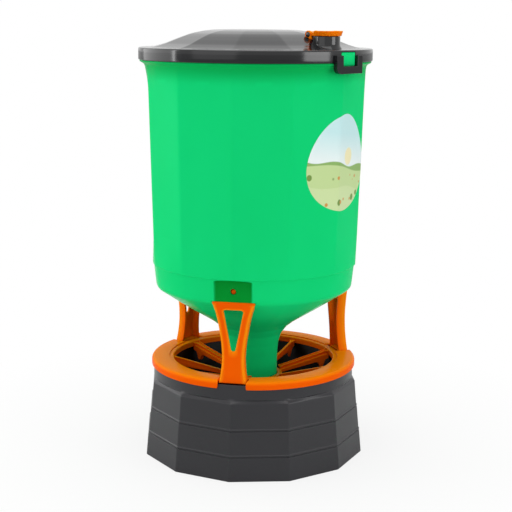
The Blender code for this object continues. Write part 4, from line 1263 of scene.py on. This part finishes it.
    def paint_shade(self, piece: bpy.types.Object) -> None:
        """Write painted shade for each point: 1 in the pockets, where the socket and the tongue
        block the light that the thin wall lets through, a share under the lip, where the lid's rim blocks
        some, and 0 elsewhere, with soft borders.

        Args:
            piece: The hopper's shell.
        """
        points = vertex_points(piece)
        azimuths = np.arctan2(points[:, 0], -points[:, 1])
        radius = np.hypot(points[:, 0], points[:, 1])
        pocket_shade = np.zeros(len(points))
        for centre in LEG_AZIMUTHS.values():
            _, across, near = self.from_leg(radius, azimuths, centre)
            side = smooth((self.pocket_half + 0.0014 - across) / 0.0036) * near
            low = smooth((points[:, 2] - 0.2230) / 0.0020)
            high = smooth((self.arched_top(across) + 0.0006 - points[:, 2]) / 0.0022)
            pocket_shade = np.maximum(pocket_shade, side * low * high)
        pocket_shade = pocket_shade * (radius > self.pocket_face - 0.0012)
        # Painted shade under the lid's rim.
        under_lip = smooth((points[:, 2] - 0.4880) / 0.0230) * (radius > 0.1390)
        paint(piece, "painted_shade", np.maximum(pocket_shade, self.lip_shade * under_lip))

    def with_rows(self, path: np.ndarray, heights: np.ndarray, beyond: float) -> np.ndarray:
        """Put rows at set heights into the outer path, in place of its own between them.

        Args:
            path: The outer path.
            heights: Heights of the rows to add.
            beyond: Radius outside which the rows lie.

        Returns:
            The path with the rows, still in order.
        """
        before = int(np.argmax((path[:, 1] > heights[0]) & (path[:, 0] > beyond)))
        after = int(np.argmax((path[:, 1] > heights[-1]) & (path[:, 0] > beyond)))
        stretch = path[before - 1:after + 1]
        rows = np.stack([np.interp(heights, stretch[:, 1], stretch[:, column])
                         for column in range(path.shape[1])], axis=1)
        return np.concatenate([path[:before], rows, path[after:]])

    def build_lug(self, name: str, azimuth: float) -> None:
        """Make a lug that fills a lid loop's window: a rounded block with a gently convex face.

        Args:
            name: The piece's name.
            azimuth: The azimuth that it faces.
        """
        half, bottom, top, back, corner = 0.0132, 0.5137, 0.5300, 0.1440, 0.0006
        share = np.linspace(-1.0, 1.0, 17)
        face = 0.1499 - 0.0003 * share ** 2
        rows = [(face - corner, bottom), (face, bottom + 0.0008), (face, top - 0.0008), (face - corner, top),
                (back, top), (back, bottom)]
        rings = np.stack([placed(share * half, out, height, azimuth) for out, height in rows], axis=1)
        self.add(Shell().tube(rings), name, Body.TOWER, Slot.GREEN, "hopper", soften=0.0008, sharp=40.0)


@dataclass
class Lid(Assembly):
    """Domed lid: faceted dome, round rim, filler neck with hinge ears, and two loops."""

    rim: float = 0.1500
    wall: float = 0.0024
    rim_top: float = 0.5325
    rim_bottom: float = 0.5171
    neck: float = 0.0169
    neck_wall: float = 0.0024
    neck_foot: float = 0.5320
    neck_top: float = 0.5485
    ear: float = 0.0050
    loop_half: float = 0.0251
    loop_bottom: float = 0.5043
    loop_top: float = 0.5262
    loop_back: float = 0.1481
    loop_face: float = 0.1541
    window_half: float = 0.0140
    window_bottom: float = 0.5132
    window_top: float = 0.5306

    def dome(self) -> np.ndarray:
        """Path of the upper side from the apex to the rim's bottom: radius, height, roundness, rounding."""
        corners = [
            (0.0, 0.5556, 0.0, 1.0, 0.02), (0.0250, 0.55555, 0.04, 0.6, 0.01),
            (0.0440, 0.5553, 0.05, 0.25, 0.008), (0.0570, 0.5548, 0.06, 0.05, 0.006),
            (0.0700, 0.5532, 0.08, 0.0, 0.005),
            (0.0850, 0.5502, 0.10, 0.0, 0.005), (0.0950, 0.5468, 0.10, 0.0, 0.005),
            (0.1060, 0.5427, 0.12, 0.0, 0.005), (0.1190, 0.5376, 0.08, 0.0, 0.005),
            (0.1290, 0.5347, 0.05, 0.0, 0.005), (0.1350, 0.5332, 0.006, 0.0, 0.005),
            (0.1380, 0.5325, 0.004, 1.0, 0.005), (self.rim, self.rim_top, 0.0019, 1.0, 0.005),
            (self.rim, self.rim_bottom, 0.0010, 1.0, 0.005),
            (self.rim - self.wall, self.rim_bottom, 0.0004, 1.0, 0.005),
            (self.rim - self.wall, self.rim_top - 0.0030, 0.0030, 1.0, 0.005),
            (0.1330, self.rim_top - self.wall, 0.004, 1.0, 0.005), (0.1270, 0.5325, 0.01, 0.0, 0.005),
            (0.1050, 0.5403, 0.08, 0.0, 0.006), (0.0840, 0.5479, 0.08, 0.0, 0.010),
            (0.0570, 0.5527, 0.06, 0.35, 0.02), (0.0300, 0.5533, 0.04, 1.0, 0.02),
            (0.0, 0.5534, 0.0, 1.0, 0.02),
        ]
        return fine_path(rounded_path(corners, 5), 0.006)

    def build(self) -> None:
        """Make the lid's shell, neck, ears and loops."""
        path = self.dome()
        path[:, 3] *= np.clip(path[:, 0] / 0.06, 0.01, 1.0)
        azimuths = self.columns()
        radius = faceted(path, azimuths)
        points = around(radius, azimuths[None], path[:, 1:2])
        in_window = (np.abs(points[..., 0]) < self.window_half) & (radius > self.rim - 0.0036)
        points[..., 2] = np.where(in_window, np.maximum(points[..., 2], self.window_top), points[..., 2])
        shell = Shell().grid(points, close_columns=True)
        self.add(shell, "domed_lid", Body.TOP, Slot.LID_GREY, "lid", sharp=50.0)
        self.build_neck()
        self.build_ears()
        for name, azimuth in (("front_loop", FRONT), ("rear_loop", REAR)):
            self.build_loop(name, azimuth)

    def columns(self) -> np.ndarray:
        """Azimuths of the columns: the facets' own and close pairs at the sides of each rim window."""
        pair = math.asin(self.window_half / self.rim) + np.array([-0.0006, 0.0006])
        sides = np.concatenate([pair, -pair, REAR + pair, REAR - pair])
        return with_columns(facet_azimuths(12, 0.035), sides)

    def build_neck(self) -> None:
        """Make the filler neck, a turned tube whose foot is sunk into the dome."""
        bore = self.neck - self.neck_wall
        path = rounded_path([(self.neck + 0.0035, self.neck_foot, 0.0), (self.neck, 0.5375, 0.006),
                             (self.neck, self.neck_top, 0.0007), (bore, self.neck_top, 0.0007),
                             (bore, self.neck_foot, 0.0)], 5)
        shell = Shell().loft(turned(path, 96, NECK_OUT))
        self.add(shell, "filler_neck", Body.TOP, Slot.LID_GREY, "lid", sharp=40.0)

    def build_ears(self) -> None:
        """Make the two hinge ears, orange as the cap: a round head over a cheek that leans to the neck."""
        head = np.linspace(0.0, math.pi, 15)
        out = PIN_OUT + np.concatenate([-self.ear * np.cos(head), [0.0072, -0.0006]])
        up = PIN_HEIGHT + np.concatenate([self.ear * np.sin(head), [-0.0115, -0.0115]])
        shell = Shell()
        for side in (-1.0, 1.0):
            across = side * np.array([0.0057, 0.0090])
            shell.tube(placed(across[:, None], out[None], up[None], FRONT))
        piece = shell.piece("hinge_ears", self.finishes.cap, soften=0.0006, sharp=40.0, segments=3)
        self.hand_over(piece, Body.TOP, Slot.ORANGE, "lid")

    def build_loop(self, name: str, azimuth: float) -> None:
        """Make a loop as a closed surface that runs round its window.

        Args:
            name: The piece's name.
            azimuth: The azimuth that it faces.
        """
        half, inner, bottom, top = self.loop_half, self.window_half, self.loop_bottom, self.loop_top
        start = (0.0010 - half, top, 0.0)
        outline = [start, (-half, top, 0.0022), (-half, bottom, 0.0072), (half, bottom, 0.0016),
                   (half, top, 0.0022), (inner, top, 0.0008), (inner, self.window_bottom, 0.0012),
                   (-inner, self.window_bottom, 0.0012), (-inner, top, 0.0008), start]
        flat = rounded_path(outline, 6)[:-1]
        rings = np.stack([placed(flat[:, 0], self.bowed(flat[:, 0], out), flat[:, 1], azimuth)
                          for out in (self.loop_back, self.loop_face)])
        self.add(Shell().tube(rings), name, Body.TOP, Slot.LID_GREY, "lid", soften=0.0008, sharp=40.0,
                 segments=3)

    def bowed(self, across: np.ndarray, out: float) -> np.ndarray:
        """Distance from the axis of a slightly curved plate: it falls away with the rim's own curve."""
        return out - across ** 2 / (2.0 * self.rim) * 0.8


@dataclass
class FillerCap(Assembly):
    """Filler cap with a plug, a flared finger lip and a hinge knuckle, and its pin."""

    disc: float = 0.0183
    bottom: float = 0.5488
    top: float = 0.5533
    plug: float = 0.0141
    plug_bottom: float = 0.5453
    plug_wall: float = 0.0018
    knuckle: float = 0.0041
    half: float = 0.0053
    strap_bottom: float = 0.5492
    strap_top: float = 0.5531
    pin_half: float = 0.0097

    def build(self) -> None:
        """Make the cap and the pin."""
        azimuths = full_turn(120)
        facing = np.minimum(azimuths, FULL_TURN - azimuths)
        lipped = smooth((math.radians(112.0) - facing) / math.radians(10.0))
        path = rounded_path([
            (0.0, 0.5513, 0.0), (self.plug - 0.0010, 0.5513, 0.0010), (self.disc - 0.0022, self.top, 0.0012),
            (self.disc + 0.0004, self.top, 0.0008), (self.disc, self.bottom, 0.0005),
            (self.plug, self.bottom, 0.0003), (self.plug - 0.0003, self.plug_bottom, 0.0004),
            (self.plug - self.plug_wall, self.plug_bottom, 0.0004),
            (self.plug - self.plug_wall, 0.5495, 0.0006), (0.0, 0.5495, 0.0)], 4)
        radius, height = path[:, 0:1], path[:, 1:2]
        edge = smooth((radius - (self.disc - 0.0035)) / 0.0030)
        upper = smooth((height - self.bottom) / (self.top - self.bottom))
        flared = radius + 0.0014 * edge * upper * lipped[None]
        lifted = height + 0.0017 * edge * smooth((upper - 0.5) * 2.0) * lipped[None]
        points = around(flared, azimuths[None], lifted) + np.array([0.0, -NECK_OUT, 0.0])
        shell = Shell().grid(points, close_columns=True)
        chamfer = 0.0004
        along = [0.0, chamfer, 2.0 * self.half - chamfer, 2.0 * self.half]
        widths = [self.knuckle - chamfer, self.knuckle, self.knuckle, self.knuckle - chamfer]
        shell.tube(self.cross_bar(widths, along, self.half, 40))
        strap = rectangle(self.half, self.strap_bottom, self.strap_top)
        shell.tube(np.stack([placed(strap[:, 0], out, strap[:, 1], FRONT)
                             for out in (PIN_OUT + 0.0010, NECK_OUT - self.plug)]))
        piece = shell.piece("filler_lid", self.finishes.cap, soften=0.0004, sharp=40.0)
        self.hand_over(piece, Body.CAP, Slot.ORANGE, "filler_cap")
        self.build_pin()

    def cross_bar(self, widths: list[float], along: list[float], half: float, columns: int) -> np.ndarray:
        """Rings of a bar on the hinge's axis, from its left end, which lies half from the middle."""
        start = np.array([-half, -PIN_OUT, PIN_HEIGHT])
        return rod_rings(np.array(widths), np.array(along), start, np.array([1.0, 0.0, 0.0]), columns)

    def build_pin(self) -> None:
        """Make the hinge pin, a bar with rounded heads at both ends."""
        ends = np.array([0.0, 0.0005, 0.0014, 0.0016])
        widths = [0.0014, 0.0032, 0.0036, 0.0026]
        along = np.concatenate([ends, 2.0 * self.pin_half - ends[::-1]])
        shell = Shell().tube(self.cross_bar(widths + widths[::-1], along, self.pin_half, 32))
        self.add(shell, "hinge_bar", Body.TOP, Slot.PIN_BLACK, "cap_hinge_pin", sharp=60.0)


@dataclass
class Label(Assembly):
    """Egg-shaped printed film on the front of the hopper."""

    azimuth: float = math.radians(5.2)
    height: float = 0.3945
    half_width: float = 0.0606
    half_height: float = 0.0603
    lean: float = math.radians(7.0)
    stand_off: float = 0.00022
    taper: float = 0.16
    wall_radius: float = 0.1370
    wall_bottom: float = 0.2549
    wall_top: float = 0.4850
    corner_bottom: float = 0.1356
    corner_gain: float = 0.0064

    def build(self) -> None:
        """Make the film as rings that shrink to its middle, laid on the hopper's facets.

        The outline is an egg: an ellipse whose width is multiplied by 1 minus a share of the height. The
        facets' corners lie on a line that widens from the step to the lip.
        """
        angle = full_turn(96)
        ring = np.linspace(1.0, 0.0, 25)[:, None]
        across = self.half_width * np.sin(angle) * (1.0 - self.taper * np.cos(angle)) * ring
        up = self.half_height * np.cos(angle) * ring
        uvs = np.stack([0.5 + across / (2.0 * self.half_width), 0.5 + up / (2.0 * self.half_height)], axis=-1)
        azimuth = self.azimuth + (across * math.cos(self.lean) + up * math.sin(self.lean)) / self.wall_radius
        height = self.height + up * math.cos(self.lean) - across * math.sin(self.lean)
        share = (height - self.wall_bottom) / (self.wall_top - self.wall_bottom)
        corner = self.corner_bottom + self.corner_gain * share
        radius = facet_radius(azimuth, corner, np.full_like(corner, 0.008), np.zeros_like(corner))
        radius = radius + 0.00005 + self.stand_off * smooth((1.0 - ring) / 0.02)
        shell = Shell().grid(around(radius, azimuth, height), close_columns=True, uvs=uvs)
        self.hand_over(shell.piece("front_film", self.finishes.film, sharp=60.0), Body.TOWER)


# Studio


@dataclass
class Studio:
    """Pale floor, plain soft lights and the camera, which stands where the photograph was taken.

    Each soft light has its name, its place to the camera's right, towards the camera and up, its width
    and height, and its power in watts.
    """

    azimuth: float = math.radians(-48.5)
    distance: float = 1.57992
    height: float = 0.56727
    pitch: float = 0.19204
    roll: float = 0.00778
    yaw: float = 0.00168
    lens: float = 85.37
    fill: float = 0.55
    floor_half: float = 30.0
    floor_drop: float = 0.0002
    softboxes: tuple[tuple[str, Place, tuple[float, float], float], ...] = (
        ("left_light", (-2.18, -0.75, 0.75), (2.5, 2.0), 20.0),
        ("left_strip", (-2.12, 0.30, 0.70), (0.16, 1.2), 3.4),
        ("right_light", (1.72, 1.03, 0.60), (1.0, 0.6), 8.0),
        ("top_light", (0.0, 0.2, 2.4), (2.2, 2.2), 27.0),
        ("front_light", (-1.7, 2.1, 1.3), (2.4, 2.0), 9.5),
    )

    def build(self) -> None:
        """Make the camera, the lights, the floor and the world."""
        self.build_camera()
        self.build_lights()
        self.build_floor()
        self.build_world()

    def build_camera(self) -> None:
        """Place the camera: its axes follow from the yaw, the downward pitch and the roll."""
        sine_yaw, cosine_yaw = math.sin(self.yaw), math.cos(self.yaw)
        sine_pitch, cosine_pitch = math.sin(self.pitch), math.cos(self.pitch)
        right = Vector((cosine_yaw, -sine_yaw, 0.0))
        forward = Vector((cosine_pitch * sine_yaw, cosine_pitch * cosine_yaw, -sine_pitch))
        up = right.cross(forward)
        rolled_right = right * math.cos(self.roll) + up * math.sin(self.roll)
        rolled_up = up * math.cos(self.roll) - right * math.sin(self.roll)
        axes = Matrix((rolled_right, rolled_up, -forward)).transposed()
        turn = Matrix.Rotation(self.azimuth, 3, "Z")
        data = bpy.data.cameras.new("photo_camera")
        data.lens = self.lens
        data.sensor_width = 36.0
        data.clip_start = 0.05
        camera = linked("photo_camera", data)
        place = turn @ Vector((0.0, -self.distance, self.height))
        camera.matrix_world = Matrix.Translation(place) @ (turn @ axes).to_4x4()
        bpy.context.scene.camera = camera

    def build_lights(self) -> None:
        """Make a large light on each side, a bright strip at the left, one overhead and a front fill."""
        middle = Vector((0.0, 0.0, 0.30))
        turn = Matrix.Rotation(self.azimuth, 3, "Z")
        for name, (right, towards, up), size, power in self.softboxes:
            data = bpy.data.lights.new(name, "AREA")
            data.shape = "RECTANGLE"
            data.size, data.size_y = size
            data.energy = power
            light = linked(name, data)
            light.location = turn @ Vector((right, -towards, up))
            light.rotation_euler = (middle - light.location).to_track_quat("-Z", "Y").to_euler()

    def build_floor(self) -> None:
        """Make the pale floor: white to the camera, with a soft share of its own lit surface near the
        feeder, so that it keeps the feeder's shadow. Reflections see the lit surface alone."""
        sides = (-self.floor_half, self.floor_half)
        grid = np.array([[(across, along, -self.floor_drop) for across in sides] for along in sides])
        material = bpy.data.materials.new("studio_floor")
        pad = NodePad(material)
        pad.fill(pad.shader, Base_Color=(0.80, 0.80, 0.80), Roughness=0.85)
        place = pad.add("TexCoord").outputs["Object"]
        away = pad.worked("VectorMath", "LENGTH", place).outputs["Value"]
        far = pad.add("MapRange", Value=away, From_Min=0.16, From_Max=0.55, To_Min=0.80, To_Max=1.0)
        path = pad.add("LightPath").outputs
        seen = pad.math("MAXIMUM", path["Is Camera Ray"], path["Is Transmission Ray"])
        white = pad.add("Emission", Color=WHITE, Strength=1.0)
        both = pad.add("MixShader")
        shares = (pad.math("MULTIPLY", seen, far.outputs["Result"]), pad.shader.outputs[0], white.outputs[0])
        for socket, fed_by in zip(both.inputs, shares):
            pad.feed(socket, fed_by)
        pad.fill(pad.tree.nodes["Material Output"], Surface=both.outputs[0])
        floor = Shell().grid(grid).piece("studio_floor", material)
        floor.data.flip_normals()

    def build_world(self) -> None:
        """Make the world white to the camera and in reflections, and a soft even light elsewhere."""
        world = bpy.data.worlds.new("studio_world")
        bpy.context.scene.world = world
        pad = NodePad(world, "Background")
        path = pad.add("LightPath").outputs
        seen = pad.math("MAXIMUM", path["Is Camera Ray"], path["Is Glossy Ray"])
        seen = pad.math("MAXIMUM", seen, path["Is Transmission Ray"])
        strength = pad.add("MapRange", Value=seen, To_Min=self.fill, To_Max=1.0)
        pad.fill(pad.shader, Color=WHITE, Strength=strength.outputs["Result"])


def clear_startup() -> None:
    """Remove whatever Blender starts with."""
    for old in list(bpy.data.objects):
        bpy.data.objects.remove(old)


def main() -> None:
    """Load the frame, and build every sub-assembly and the studio."""
    logging.basicConfig(level=logging.INFO, format="%(name)s: %(message)s")
    clear_startup()
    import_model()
    finishes = Finishes()
    assemblies = [Pedestal(finishes), FeedPan(finishes), Grille(finishes), Legs(finishes), Hopper(finishes),
                  Lid(finishes), FillerCap(finishes), Label(finishes)]
    for assembly in assemblies:
        LOG.info("building %s", type(assembly).__name__)
        assembly.build()
    Studio().build()
    bpy.context.scene.view_settings.view_transform = "Standard"


if __name__ == "__main__":
    main()
